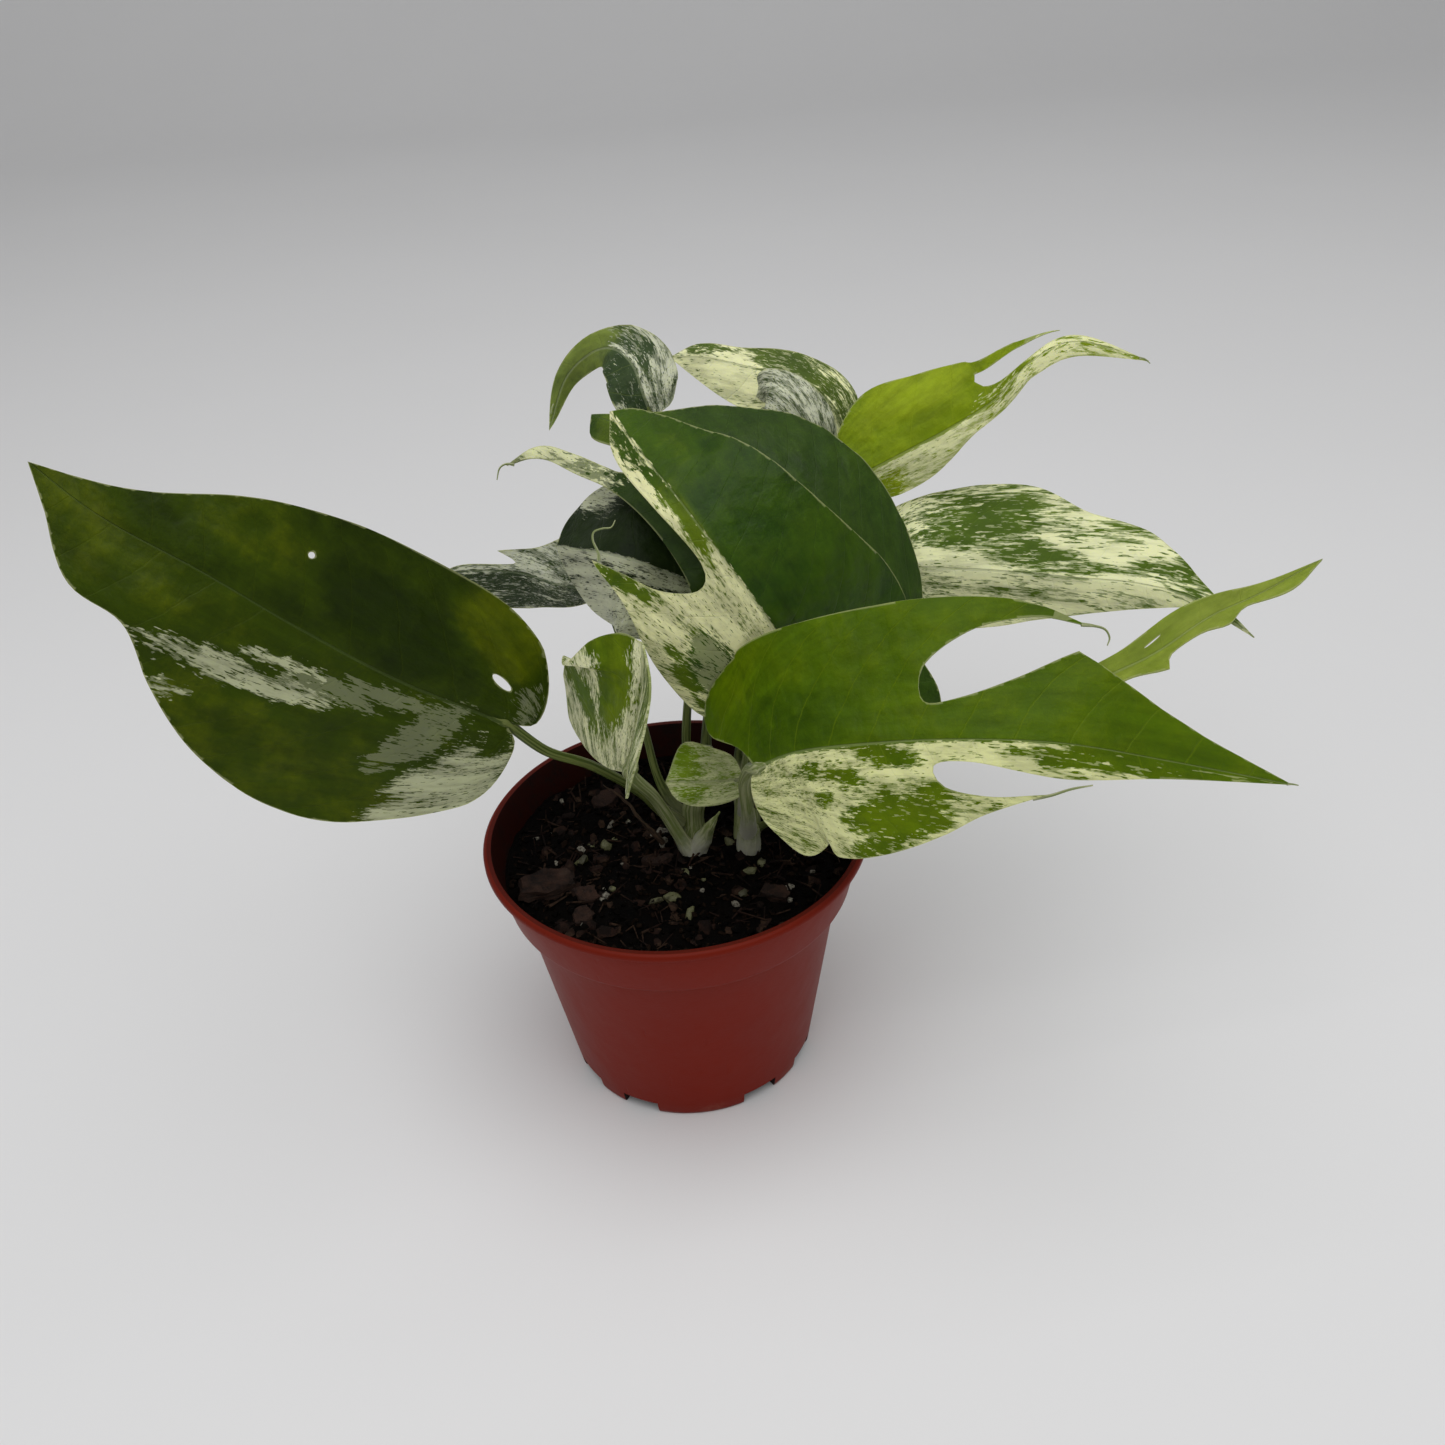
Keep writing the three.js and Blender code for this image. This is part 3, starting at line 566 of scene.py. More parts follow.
# ---- Stems and leaf stalks ----
# Two rooted cuttings share the pot. Each is a short fleshy stem, ringed at its joints and paler than most of
# the leaf stalks that spring from it. The foot of the front stalk is about as pale and thick as the stem.

STEM_JOINTS = (80.5, 90)


def on_curve(points, share):
    """Place and direction at a share, 0 to 1, of the smooth curve through the points."""
    ends = [2 * points[0] - points[1], *points, 2 * points[-1] - points[-2]]
    run = min(int(share * (len(points) - 1)), len(points) - 2)
    t = share * (len(points) - 1) - run
    before, start, end, after = ends[run:run + 4]
    leave = (end - before) / 2
    arrive = (after - start) / 2
    rise = t * t * (3 - 2 * t)
    place = start * (1 - rise) + end * rise + leave * (t * (1 - t) ** 2) - arrive * (t * t * (1 - t))
    heading = ((end - start) * 6 * t * (1 - t) + leave * (3 * t * t - 4 * t + 1)
               + arrive * (3 * t * t - 2 * t))
    return place, heading.normalized()


def rod_along(bm, points, radii, spacing=1.6, sides=14):
    """A round stalk in mm along the smooth curve through the points, its radius eased through the radii."""
    points = [Vector(point) for point in points]
    length = sum((end - start).length for start, end in zip(points, points[1:]))
    steps = max(4, round(length / spacing))
    lie = bm.verts.layers.float_vector.get("lie") or bm.verts.layers.float_vector.new("lie")
    ring = bmesh.ops.create_circle(bm, segments=sides, radius=1)["verts"]
    edges = list(dict.fromkeys(edge for vert in ring for edge in vert.link_edges))
    caps = [edges]
    frame_now = Matrix.Identity(4)
    side = Vector((0.3, 1, 0.2))
    for step in range(steps + 1):
        share = step / steps
        place, heading = on_curve(points, share)
        side = (side - heading * side.dot(heading)).normalized()
        run = min(int(share * (len(radii) - 1)), len(radii) - 2)
        t = share * (len(radii) - 1) - run
        radius = radii[run] + (radii[run + 1] - radii[run]) * t * t * (3 - 2 * t)
        frame_next = Matrix((side, heading.cross(side), heading)).transposed().to_4x4()
        frame_next = Matrix.Translation(place) @ frame_next @ Matrix.Scale(radius, 4)
        if step:
            grown = bmesh.ops.extrude_edge_only(bm, edges=edges)["geom"]
            ring = [item for item in grown if isinstance(item, bmesh.types.BMVert)]
            edges = [item for item in grown if isinstance(item, bmesh.types.BMEdge)]
        bmesh.ops.transform(bm, matrix=frame_next @ frame_now.inverted(), verts=ring)
        for vert in ring:
            around = frame_next.inverted() @ vert.co
            vert[lie] = (around.x * radius, around.y * radius, share * length)
        frame_now = frame_next
    caps.append(edges)
    for cap in caps:
        bmesh.ops.contextual_create(bm, geom=cap)


def finish_rod(name, bm, material, slot, *replaced):
    """Closes a bmesh of stalks made in mm and adds it to the plant in metres."""
    bmesh.ops.recalc_face_normals(bm, faces=bm.faces)
    bmesh.ops.scale(bm, vec=(MM, MM, MM), verts=bm.verts)
    made = to_object(name, bm, material, crease=math.radians(60))
    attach(made, "root")
    if replaced:
        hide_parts(*replaced)


# The skin of a stalk: fine ribs along it, paler streaks, and a bleached foot where the mix kept it dark.
stalk_skin, given, result = new_group(
    "stalk skin",
    {"Lie": "Vector", "Green": "Color", "Pale": "Color", "Foot": "Color", "Bleach": "Float"},
    {"Colour": "Color", "Height": "Float"},
)
streaked = node(stalk_skin, "Mapping", {"Vector": given["Lie"], "Scale": (1, 1, 0.035)}).outputs[0]
stalk_streak = speckle(stalk_skin, streaked, 1.7, detail=4)
stalk_fleck = speckle(stalk_skin, given["Lie"], 1.1, detail=4, rough=0.7)
stalk_paler = fade(stalk_skin, stalk_streak, 0.42, 0.6)
stalk_tone = blend_colour(stalk_skin, stalk_paler, given["Green"], given["Pale"])
stalk_along = node(stalk_skin, "SeparateXYZ", {0: given["Lie"]}).outputs[2]
bleached = fade(stalk_skin, calc(stalk_skin, "MULTIPLY_ADD", stalk_fleck, 6, stalk_along), 17, 8)
stalk_bleach = calc(stalk_skin, "MULTIPLY", bleached, given["Bleach"])
stalk_skin.links.new(blend_colour(stalk_skin, stalk_bleach, stalk_tone, given["Foot"]), result["Colour"])
stalk_skin.links.new(calc(stalk_skin, "MULTIPLY_ADD", stalk_fleck, 0.3, stalk_streak), result["Height"])


def stalk_material(name, green, pale, foot, bleach):
    """A waxy living stalk, and how far its foot is bleached."""
    material, tree, shader = new_material(name, roughness=0.45, specular=0.15)
    shader.inputs["Subsurface Weight"].default_value = 0.25
    shader.inputs["Subsurface Radius"].default_value = (1, 1, 0.4)
    shader.inputs["Subsurface Scale"].default_value = 0.0012
    lie = node(tree, "Attribute", attribute_name="lie").outputs["Vector"]
    values = {"Lie": lie, "Green": green, "Pale": pale, "Foot": foot, "Bleach": bleach}
    skin = use_group(tree, stalk_skin, values)
    tree.links.new(skin["Colour"], shader.inputs["Base Color"])
    add_bump(tree, shader, skin["Height"], 0.0004)
    return material


stem_skin = stalk_material("stem_skin", (0.16, 0.2, 0.06, 1), (0.34, 0.36, 0.19, 1),
                           (0.4, 0.4, 0.31, 1), 1.0)
stalk_skin_green = stalk_material("leaf_stalk_skin", (0.05, 0.075, 0.012, 1), (0.15, 0.18, 0.05, 1),
                                  (0.26, 0.27, 0.15, 1), 0.55)

STEMS = [
    ("stem_left",
     [(4, 3, 60), (4, 2.5, 67), (5, 4, 74), (6, 6, 81), (9, 9, 89), (11.5, 11.5, 96)],
     [3.4, 4.1, 3.9, 3.1, 3.0, 2.6, 1.2]),
    ("stem_right",
     [(20, 2, 60), (20, 1.5, 67), (20.5, 4, 75), (21, 7, 82), (23, 10.5, 90), (24.5, 13.5, 98)],
     [3.6, 4.3, 4.0, 3.4, 3.1, 2.7, 1.3]),
]
for name, points, radii in STEMS:
    bm = bmesh.new()
    rod_along(bm, points, radii, spacing=0.9, sides=24)
    # Each joint of the stem swells into a low ring.
    for vert in bm.verts:
        ring = sum(math.exp(-((vert.co.z - joint) / 0.7) ** 2) for joint in STEM_JOINTS)
        vert.co += noise.noise_vector(vert.co / 5) * 0.25
        vert.co += Vector((vert.co.x - points[3][0], vert.co.y - points[3][1], 0)).normalized() * ring * 0.3
    finish_rod(f"{name}_flesh", bm, stem_skin, "stalk", name)

# The bleached foot of the front stalk stands in the mix like a blunt thumb.
bm = bmesh.new()
rod_along(bm, [(20, -3.4, 66), (20, -4, 72), (20.2, -4.6, 77.5), (20.4, -5.5, 81)], [3.3, 3.5, 3.1, 1.7],
          spacing=0.8, sides=20)
finish_rod("front_stalk_foot", bm, stem_skin, "stalk")

# ---- Leaf blades ----
# Fifteen living blades, no two alike: waxy above, duller beneath, half a millimetre thick, creased along the
# midrib and quilted between the side veins. Patches of cream and grey-green run out along the veins in
# ragged brush strokes. Several blades have split into fingers as they grew.

BLADE = 0.55
GRID = 2.2
VEIN_SPACING = 12.5
VEIN_LEAN = 0.4
VEIN_BOW = 0.014
VEIN_STAGGER = 3
STROKE_ROOT = 9
PAINTED_LAYERS = ("cream", "grey", "tone", "rim", "under")


def side_vein(u, v):
    """How far along the midrib the side vein through a place on the flat blade springs, in vein spacings."""
    aside = abs(v)
    stagger = VEIN_STAGGER if v > 0 else 0
    return (u - VEIN_LEAN * aside - VEIN_BOW * aside * aside + stagger) / VEIN_SPACING


# Side veins and midrib, in the same run as the quilting: Line is 1 on a vein and Quilt 1 midway between.
blade_veins, given, result = new_group(
    "blade veins",
    {"Lie": "Vector", "Spacing": "Float"},
    {"Line": "Float", "Quilt": "Float", "Midrib": "Float"},
)
along, across, _ = node(blade_veins, "SeparateXYZ", {0: given["Lie"]}).outputs
aside = calc(blade_veins, "ABSOLUTE", across)
left_half = calc(blade_veins, "GREATER_THAN", across, 0.0)
leaning = calc(blade_veins, "MULTIPLY_ADD", aside, VEIN_BOW, VEIN_LEAN)
arched = calc(blade_veins, "MULTIPLY", leaning, aside)
staggered = calc(blade_veins, "MULTIPLY_ADD", left_half, VEIN_STAGGER, along)
sprung = calc(blade_veins, "SUBTRACT", staggered, arched)
wobble = calc(blade_veins, "MULTIPLY_ADD", speckle(blade_veins, given["Lie"], 0.12), 2.4, sprung)
half_spacing = calc(blade_veins, "MULTIPLY", given["Spacing"], 0.5)
off_vein = calc(blade_veins, "PINGPONG", calc(blade_veins, "SUBTRACT", wobble, 1.2), half_spacing)
blade_veins.links.new(fade(blade_veins, off_vein, 0.32, 0.08), result["Line"])
blade_veins.links.new(calc(blade_veins, "DIVIDE", off_vein, half_spacing), result["Quilt"])
rib_width = fade(blade_veins, along, 0, 110, low=0.4, high=0.12)
blade_veins.links.new(fade(blade_veins, calc(blade_veins, "SUBTRACT", aside, rib_width), 0.15, -0.15),
                      result["Midrib"])

# Ragged strokes that fan out from a root a little behind the leaf base. Share is how much of the place is
# pale, Mask is 1 in a stroke, Mist spreads a little past it, and Cloud is the broad noise behind it.
strokes, given, result = new_group(
    "strokes",
    {"Lie": "Vector", "Share": "Float", "Seed": "Float", "Grain": "Float"},
    {"Mask": "Float", "Mist": "Float", "Cloud": "Float"},
)
along, across, _ = node(strokes, "SeparateXYZ", {0: given["Lie"]}).outputs
ahead = calc(strokes, "ADD", along, STROKE_ROOT)
squared = calc(strokes, "MULTIPLY_ADD", ahead, ahead, calc(strokes, "MULTIPLY", across, across))
out = calc(strokes, "POWER", squared, 0.25)
angle = calc(strokes, "ARCTAN2", across, ahead)
fan = calc(strokes, "MULTIPLY", angle, calc(strokes, "MULTIPLY", out, 6.5))
lengthwise = calc(strokes, "MULTIPLY", out, 2.2)
fanned = node(strokes, "CombineXYZ", {0: fan, 1: lengthwise, 2: given["Seed"]}).outputs[0]
broad = speckle(strokes, fanned, calc(strokes, "MULTIPLY", given["Grain"], 0.32), detail=5, rough=0.68)
fine = speckle(strokes, fanned, calc(strokes, "MULTIPLY", given["Grain"], 1.5), detail=3, rough=0.6)
stroke_level = calc(strokes, "MULTIPLY_ADD", fine, 0.34, calc(strokes, "MULTIPLY", broad, 0.66))
spread = calc(strokes, "MULTIPLY_ADD", stroke_level, 3.4, -1.2)
flecks = speckle(strokes, fanned, calc(strokes, "MULTIPLY", given["Grain"], 2.6), detail=2)
sparkle = calc(strokes, "SUBTRACT", fade(strokes, flecks, 0.56, 0.66), fade(strokes, flecks, 0.42, 0.34))
sparkle = calc(strokes, "MULTIPLY", sparkle, fade(strokes, fine, 0.4, 0.6, low=0.15, high=0.8))
mixed = fade(strokes, given["Share"], 0.0, 0.14)
over = calc(strokes, "ADD", spread, calc(strokes, "SUBTRACT", given["Share"], 1))
over = calc(strokes, "SUBTRACT", over, calc(strokes, "MULTIPLY", sparkle, mixed))
over = calc(strokes, "ADD", over, fade(strokes, mixed, 0, 1, low=-0.6, high=0))
strokes.links.new(fade(strokes, over, -0.03, 0.04), result["Mask"])
strokes.links.new(fade(strokes, over, -0.2, -0.1), result["Mist"])
strokes.links.new(broad, result["Cloud"])


def leaf_material(name, dark, mid, light, cream, seed, grain, rib, veining=0.16, sheen=0.08):
    """A waxy blade: its dark, middle and light greens, its cream, and the colour of its midrib."""
    material, tree, shader = new_material(name, specular=sheen)
    shader.inputs["Subsurface Weight"].default_value = 0.3
    shader.inputs["Subsurface Radius"].default_value = (0.9, 1, 0.3)
    shader.inputs["Subsurface Scale"].default_value = 0.0012
    lie = node(tree, "Attribute", attribute_name="lie").outputs["Vector"]
    painted = {layer: node(tree, "Attribute", attribute_name=layer).outputs["Fac"]
               for layer in PAINTED_LAYERS}
    veins = use_group(tree, blade_veins, {"Lie": lie, "Spacing": VEIN_SPACING})
    stroke = use_group(tree, strokes, {"Lie": lie, "Share": painted["cream"], "Seed": seed, "Grain": grain})
    mottle = speckle(tree, lie, 0.085, detail=6, rough=0.68)
    tone = calc(tree, "ADD", painted["tone"], calc(tree, "MULTIPLY_ADD", mottle, 2.4, -1.2))
    green = blend_colour(tree, fade(tree, tone, -0.9, 0.1), (*dark, 1), (*mid, 1))
    green = blend_colour(tree, fade(tree, tone, 0, 1), green, (*light, 1))
    shade = calc(tree, "MULTIPLY_ADD", stroke["Cloud"], 1.1, 0.42)
    green = node(tree, "VectorMath", {0: green, 3: shade}, operation="SCALE").outputs[0]
    green = blend_colour(tree, calc(tree, "MULTIPLY", veins["Line"], veining), green, (*light, 1))
    half_pale = blend_colour(tree, 0.42, green, (*cream, 1))
    values = {"Lie": lie, "Share": painted["grey"], "Seed": seed + 20, "Grain": grain * 0.8}
    grey = use_group(tree, strokes, values)
    greyed = calc(tree, "MULTIPLY", grey["Mask"], 0.7)
    misted = calc(tree, "MAXIMUM", greyed, calc(tree, "MULTIPLY", stroke["Mist"], 0.8))
    colour = blend_colour(tree, misted, green, half_pale)
    darker = [part * 0.7 for part in cream]
    milk = blend_colour(tree, fade(tree, stroke["Cloud"], 0.42, 0.62), (*darker, 1), (*cream, 1))
    colour = blend_colour(tree, stroke["Mask"], colour, milk)
    colour = blend_colour(tree, calc(tree, "MULTIPLY", veins["Midrib"], 0.4), colour, (*rib, 1))
    edge = calc(tree, "MULTIPLY", fade(tree, painted["rim"], 0.7, 0.9), 0.45)
    colour = blend_colour(tree, edge, colour, (0.4, 0.42, 0.2, 1))
    dull = blend_colour(tree, 0.35, colour, (0.24, 0.3, 0.13, 1))
    tree.links.new(blend_colour(tree, painted["under"], colour, dull), shader.inputs["Base Color"])
    satin = calc(tree, "MULTIPLY_ADD", stroke["Mask"], 0.06, calc(tree, "MULTIPLY_ADD", mottle, 0.16, 0.36))
    tree.links.new(calc(tree, "MULTIPLY_ADD", painted["under"], 0.15, satin), shader.inputs["Roughness"])
    skin = speckle(tree, lie, 2.2, detail=3)
    pucker = speckle(tree, lie, 0.17, detail=3, rough=0.45)
    pores = calc(tree, "MULTIPLY_ADD", skin, 0.16, calc(tree, "MULTIPLY", veins["Quilt"], 0.25))
    pores = calc(tree, "MULTIPLY_ADD", pucker, 2.4, pores)
    height = calc(tree, "SUBTRACT", pores, calc(tree, "MULTIPLY", veins["Line"], 0.15))
    height = calc(tree, "SUBTRACT", height, calc(tree, "MULTIPLY", veins["Midrib"], 0.6))
    add_bump(tree, shader, height, 0.0005, 0.8)
    return material


def margin_of(runs):
    """Flat places about 2 mm apart along one margin, smooth but for the corners where its runs meet."""
    places = []
    for run in runs:
        points = [Vector(point) for point in run]
        for index, (start, end) in enumerate(zip(points, points[1:])):
            steps = max(2, round((end - start).length / 2))
            for step in range(steps):
                places.append(on_curve(points, (index + step / steps) / (len(points) - 1))[0])
    return [*places, Vector(runs[-1][-1])]


def bent_blade(leaf):
    """Where a place on the flat blade, and a height over it, comes to lie in space, all in mm."""
    spine = [Vector(point) for point in leaf["midrib"]]
    steps = [on_curve(spine, step / 200)[0] for step in range(201)]
    length = sum((end - start).length for start, end in zip(steps, steps[1:]))
    face = Vector(leaf["face"])

    def place(u, v, height=0.0):
        share = min(max(u / length, 0), 1)
        at, heading = on_curve(spine, share)
        up = (face - heading * face.dot(heading)).normalized()
        sideways = up.cross(heading)
        fold, curl = (leaf["right"] if v < 0 else leaf["left"])[:2]
        start = math.radians(fold[0] + (fold[1] - fold[0]) * share)
        turn = math.radians(curl)
        end = start + turn * abs(v)
        reach = (math.sin(end) - math.sin(start)) / turn
        rise = (math.cos(start) - math.cos(end)) / turn
        lean = end if v else 0
        outwards = -1 if v < 0 else 1
        return (at + heading * (u - share * length) + sideways * outwards * (reach - height * math.sin(lean))
                + up * (rise + height * math.cos(lean)))

    return place, length


def touch(patch, u, v):
    """How much of a patch (middle, half-length, half-width and slant) covers a place, 0 to 1."""
    middle_u, middle_v, half_length, half_width, slant = patch
    turn = math.radians(slant)
    along = (u - middle_u) * math.cos(turn) + (v - middle_v) * math.sin(turn)
    aside = (v - middle_v) * math.cos(turn) - (u - middle_u) * math.sin(turn)
    distance = math.hypot(along / half_length, aside / half_width)
    t = min(max((1.35 - distance) / 0.6, 0), 1)
    return t * t * (3 - 2 * t)


def make_leaf(name, leaf, material, layers, holes=()):
    """Builds one blade and gives back where a place on it lies.

    layers gives each painted layer's value on the left and right half, then its patches. A patch starts with
    the value that it brings, and a hole and the rest of a patch are as touch reads them.
    """
    left_margin = margin_of(leaf["left"][2:])
    right_margin = margin_of(leaf["right"][2:])
    outline = right_margin + left_margin[-2:0:-1]
    bm = bmesh.new()
    bm.faces.new([bm.verts.new((point.x, point.y, 0)) for point in outline])
    grid = [GRID * step for step in range(-24, 66) if step]
    for axis, lines in (((0, 1, 0), [0, -0.8, 0.8, *grid]), ((1, 0, 0), grid)):
        for line in lines:
            bmesh.ops.bisect_plane(bm, geom=bm.verts[:] + bm.edges[:] + bm.faces[:], dist=0.02,
                                   plane_co=Vector(axis) * line, plane_no=axis)
    bmesh.ops.remove_doubles(bm, verts=bm.verts, dist=0.03)
    bmesh.ops.solidify(bm, geom=bm.faces[:], thickness=-BLADE)
    middle = sum(vert.co.z for vert in bm.verts) / len(bm.verts)
    if holes:
        cutter = bmesh.new()
        for u, v, half_length, half_width, slant in holes:
            shape = Matrix.Translation((u, v, 0)) @ Matrix.Rotation(math.radians(slant), 4, "Z")
            shape = shape @ Matrix.Diagonal((half_length, half_width, 1, 1))
            bmesh.ops.create_cone(cutter, cap_ends=True, segments=20, radius1=1, radius2=1, depth=4,
                                  matrix=shape)
        bm = cut_away(bm, cutter)
    bm.normal_update()

    place, length = bent_blade(leaf)
    paints = {layer: bm.verts.layers.float.new(layer) for layer in PAINTED_LAYERS}
    lie = bm.verts.layers.float_vector.new("lie")
    seed = leaf["midrib"][0][0]
    for vert in bm.verts:
        u, v, _ = vert.co
        upper = vert.co.z > middle
        vert[lie] = (u, v, 0)
        vert[paints["under"]] = 0 if upper else 1
        vert[paints["rim"]] = 1 if any(abs(face.normal.z) < 0.5 for face in vert.link_faces) else 0
        for layer, (on_left, on_right, patches) in layers.items():
            value = on_right if v < 0 else on_left
            for aim, *patch in patches:
                value += (aim - value) * touch(patch, u, v)
            vert[paints[layer]] = value
        aside = abs(v)
        wave = noise.noise((u / 26, v / 20, seed)) * 1.5 * min(1, aside / 9)
        wave += noise.noise((u / 9, v / 9, seed + 5)) * 0.4 * min(1, aside / 9)
        quilt = abs(side_vein(u, v) % 1 - 0.5) * 2
        relief = wave - 0.13 * quilt ** 3 * min(1, aside / 4)
        rib = max(0.15, 1 - u / length)
        relief -= 0.35 * rib * math.exp(-(v / 1.1) ** 2)
        if upper:
            height = BLADE / 2 + relief
        else:
            height = -BLADE / 2 + relief - 1.15 * rib * math.exp(-(v / 1.2) ** 2)
        vert.co = place(u, v, height) * MM
    bmesh.ops.recalc_face_normals(bm, faces=bm.faces)
    if bm.calc_volume(signed=True) < 0:
        bmesh.ops.reverse_faces(bm, faces=bm.faces)
    blade = to_object(f"{name}_blade", bm, material, crease=math.radians(50))
    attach(blade, "root")
    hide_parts(name)
    return place


# ---- Left leaves ----
# The oldest leaf is broad and whole and hangs out to the left. The youngest cream one stands beside its
# stalk with one half folded forward. Each blade is grown in one piece with its stalk.

# Dark olive, with one brushed cream streak, a speckled basal lobe and two small tears.
left_broad_skin = leaf_material(
    "left_broad_leaf", dark=(0.015, 0.028, 0.0005), mid=(0.031, 0.053, 0.0006), light=(0.085, 0.11, 0.001),
    cream=(0.46, 0.48, 0.3), rib=(0.07, 0.1, 0.03), seed=1, grain=1, veining=0.06,
)
on_left_broad = make_leaf(
    "leaf_left_broad",
    {
        "midrib": [(-39, -22, 131), (-60, -34, 153), (-77, -42, 173), (-93, -45, 190), (-111, -42, 203),
            (-125, -34, 213)],
        "face": (0.25, -0.85, 0.47),
        "left": (
            (-4, -4), -0.25,
            [(0, 0), (-5, 5), (-3, 18), (12, 30), (29, 38), (50, 36), (72, 26), (85, 17), (98, 15),
             (112, 6), (125, 0)],
        ),
        "right": (
            (8, 4), -0.25,
            [(0, 0), (-8, -3), (-7, -13), (3, -23), (18, -28), (45, -27), (69, -21), (92, -10), (111, -4),
             (125, 0)],
        ),
    },
    left_broad_skin,
    {
        "cream": (0, 0, [(0.66, 62, 15.5, 24, 2.6, 8), (0.5, 51, 8.5, 10, 1.4, 10),
            (0.62, 45, 12.5, 8, 2.6, 14), (0.72, 6, 22, 20, 8.5, 62), (0, 0.5, 5, 6, 3, 90),
            (0.4, 68, 25, 6, 2, 15), (0.45, 82, 19, 8, 1.8, 8)]),
        "grey": (0, 0, [(0.75, 31, 6.5, 16, 3, 14), (0.8, 16, 10, 12, 4, 58), (0.7, -4, -6, 5, 3, 90)]),
        "tone": (0.05, -0.4, [(0.75, 9, -19, 13, 8, -25), (0.35, 40, 28, 32, 8, -8),
            (0.5, 112, 2, 20, 8, 0), (0.25, 72, -14, 26, 7, -8), (-0.9, 32, -11, 20, 8, -8),
            (0.3, 90, 6, 20, 6, 0)]),
    },
    holes=[(5, -9, 2.9, 1, -20), (57, -15, 0.9, 0.7, 0)],
)

# Cream with green stripes that run up from the base.
left_young_skin = leaf_material(
    "left_young_leaf", dark=(0.03, 0.06, 0.002), mid=(0.06, 0.11, 0.003), light=(0.13, 0.19, 0.005),
    cream=(0.72, 0.73, 0.45), rib=(0.2, 0.25, 0.09), seed=2, grain=1,
)
on_left_young = make_leaf(
    "leaf_left_young",
    {
        "midrib": [(-11, -19, 111), (-8, -22, 125), (-5, -22, 138), (-4, -18, 147)],
        "face": (-0.45, -0.72, 0.5),
        "left": (
            (-4, -6), -0.4,
            [(0, 0), (-4, 8), (-3, 20), (5, 27), (18, 27), (31, 25), (38, 17), (41, 7), (39, 0)],
        ),
        "right": (
            (50, 50), -0.2,
            [(0, 0), (-2, -6), (4, -12), (15, -14), (26, -11), (34, -5), (39, 0)],
        ),
    },
    left_young_skin,
    {
        "cream": (0.62, 0.5, [(0, 25, 9, 17, 5.4, 0), (0.05, 12, 19, 11, 3.2, 38), (0, 41, 12, 6, 10, 0),
            (0.2, 18, -9, 18, 3, 0)]),
        "grey": (0, 0.3, []),
        "tone": (0.4, 0.4, [(0.8, 22, 7, 16, 3, 0)]),
    },
)

# ---- Front leaves ----
# The lowest leaf reaches out to the right, plain green above its midrib and marbled below, and has split
# into two fingers. A half-opened young leaf stands under its base.

# Light green with pale stripes, still half rolled.
front_young_skin = leaf_material(
    "front_young_leaf", dark=(0.09, 0.16, 0.006), mid=(0.15, 0.25, 0.008), light=(0.22, 0.33, 0.02),
    cream=(0.66, 0.7, 0.36), rib=(0.2, 0.25, 0.09), seed=3, grain=1.2,
)
on_front_young = make_leaf(
    "leaf_front_young",
    {
        "midrib": [(20, 0, 92), (12, -3, 94), (5, -6, 97), (-2, -8, 99)],
        "face": (0, -0.75, 0.65),
        "left": (
            (-25, -25), -0.5,
            [(0, 0), (1, 5), (12, 7), (20, 5), (24, 0)],
        ),
        "right": (
            (10, 10), -0.5,
            [(0, 0), (3, -7), (12, -10), (19, -10), (24, 0)],
        ),
    },
    front_young_skin,
    {
        "cream": (0.62, 0.5, [(0.05, 18, -5, 6, 4, 0), (0.65, 8, -5, 7, 3, 0), (0.1, 15, 3, 6, 1.5, 0)]),
        "grey": (0.4, 0.3, []),
        "tone": (0.4, 0.4, []),
    },
)

# The finger above the midrib is long and bare; the one below ends in a thread.
front_split_skin = leaf_material(
    "front_split_leaf", dark=(0.034, 0.073, 0.001), mid=(0.066, 0.122, 0.001), light=(0.11, 0.17, 0.001),
    cream=(0.74, 0.76, 0.38), rib=(0.3, 0.36, 0.14), seed=4, grain=1, veining=0.5,
)
on_front_split = make_leaf(
    "leaf_front_split",
    {
        "midrib": [(21, -32, 118), (31, -40, 127), (47, -48, 133), (66, -54, 136), (89, -58, 135),
            (115, -58, 127), (149, -52, 112)],
        "face": (-0.1, -0.68, 0.73),
        "left": (
            (8, 5), -0.2,
            [(0, 0), (-4, 6), (-13, 12), (-11, 21), (2, 29), (26, 31), (56, 33), (84, 33), (100, 28)],
            [(100, 28), (88, 29), (74, 25), (63, 17), (63, 9), (73, 10), (86, 15), (98, 22)],
            [(98, 22), (110, 15), (124, 8), (143, 0)],
        ),
        "right": (
            (-24, -8), -0.5,
            [(0, 0), (-4, -4), (-6, -14), (1, -25), (12, -25), (22, -23)],
            [(22, -23), (27, -27), (45, -27), (66, -23), (79, -17), (93, -12)],
            [(93, -12), (80, -13), (68, -11), (65, -6), (74, -5), (97, -8), (120, -4), (143, 0)],
        ),
    },
    front_split_skin,
    {
        "cream": (0, 0.64, [(0, 53, -18, 16, 4.5, 0), (0, 53, -3.5, 9, 2.2, -12),
            (0.05, 38, -7, 6, 1.8, -15), (0.1, 26, -5, 4, 1.4, 0), (0.1, 29, -12, 4, 1.6, 10),
            (0.15, 45, -25, 8, 2, 0), (0.1, 66, -12, 6, 1.5, 0), (0, 126, -2, 24, 6, 0),
            (0.85, 106, -6, 12, 1.6, 0), (0.1, 95, -3.5, 13, 1.8, 0), (0.9, 84, -5.5, 9, 1.5, 0)]),
        "grey": (0, 0.25, []),
        "tone": (0.25, 0.55, [(-0.5, 22, 8, 22, 8, 0), (0.3, 112, 10, 30, 12, -15), (0.3, 70, 28, 24, 6, 0),
            (0.8, 53, -18, 14, 3, 0), (0.6, 2, 24, 12, 6, 30)]),
    },
)

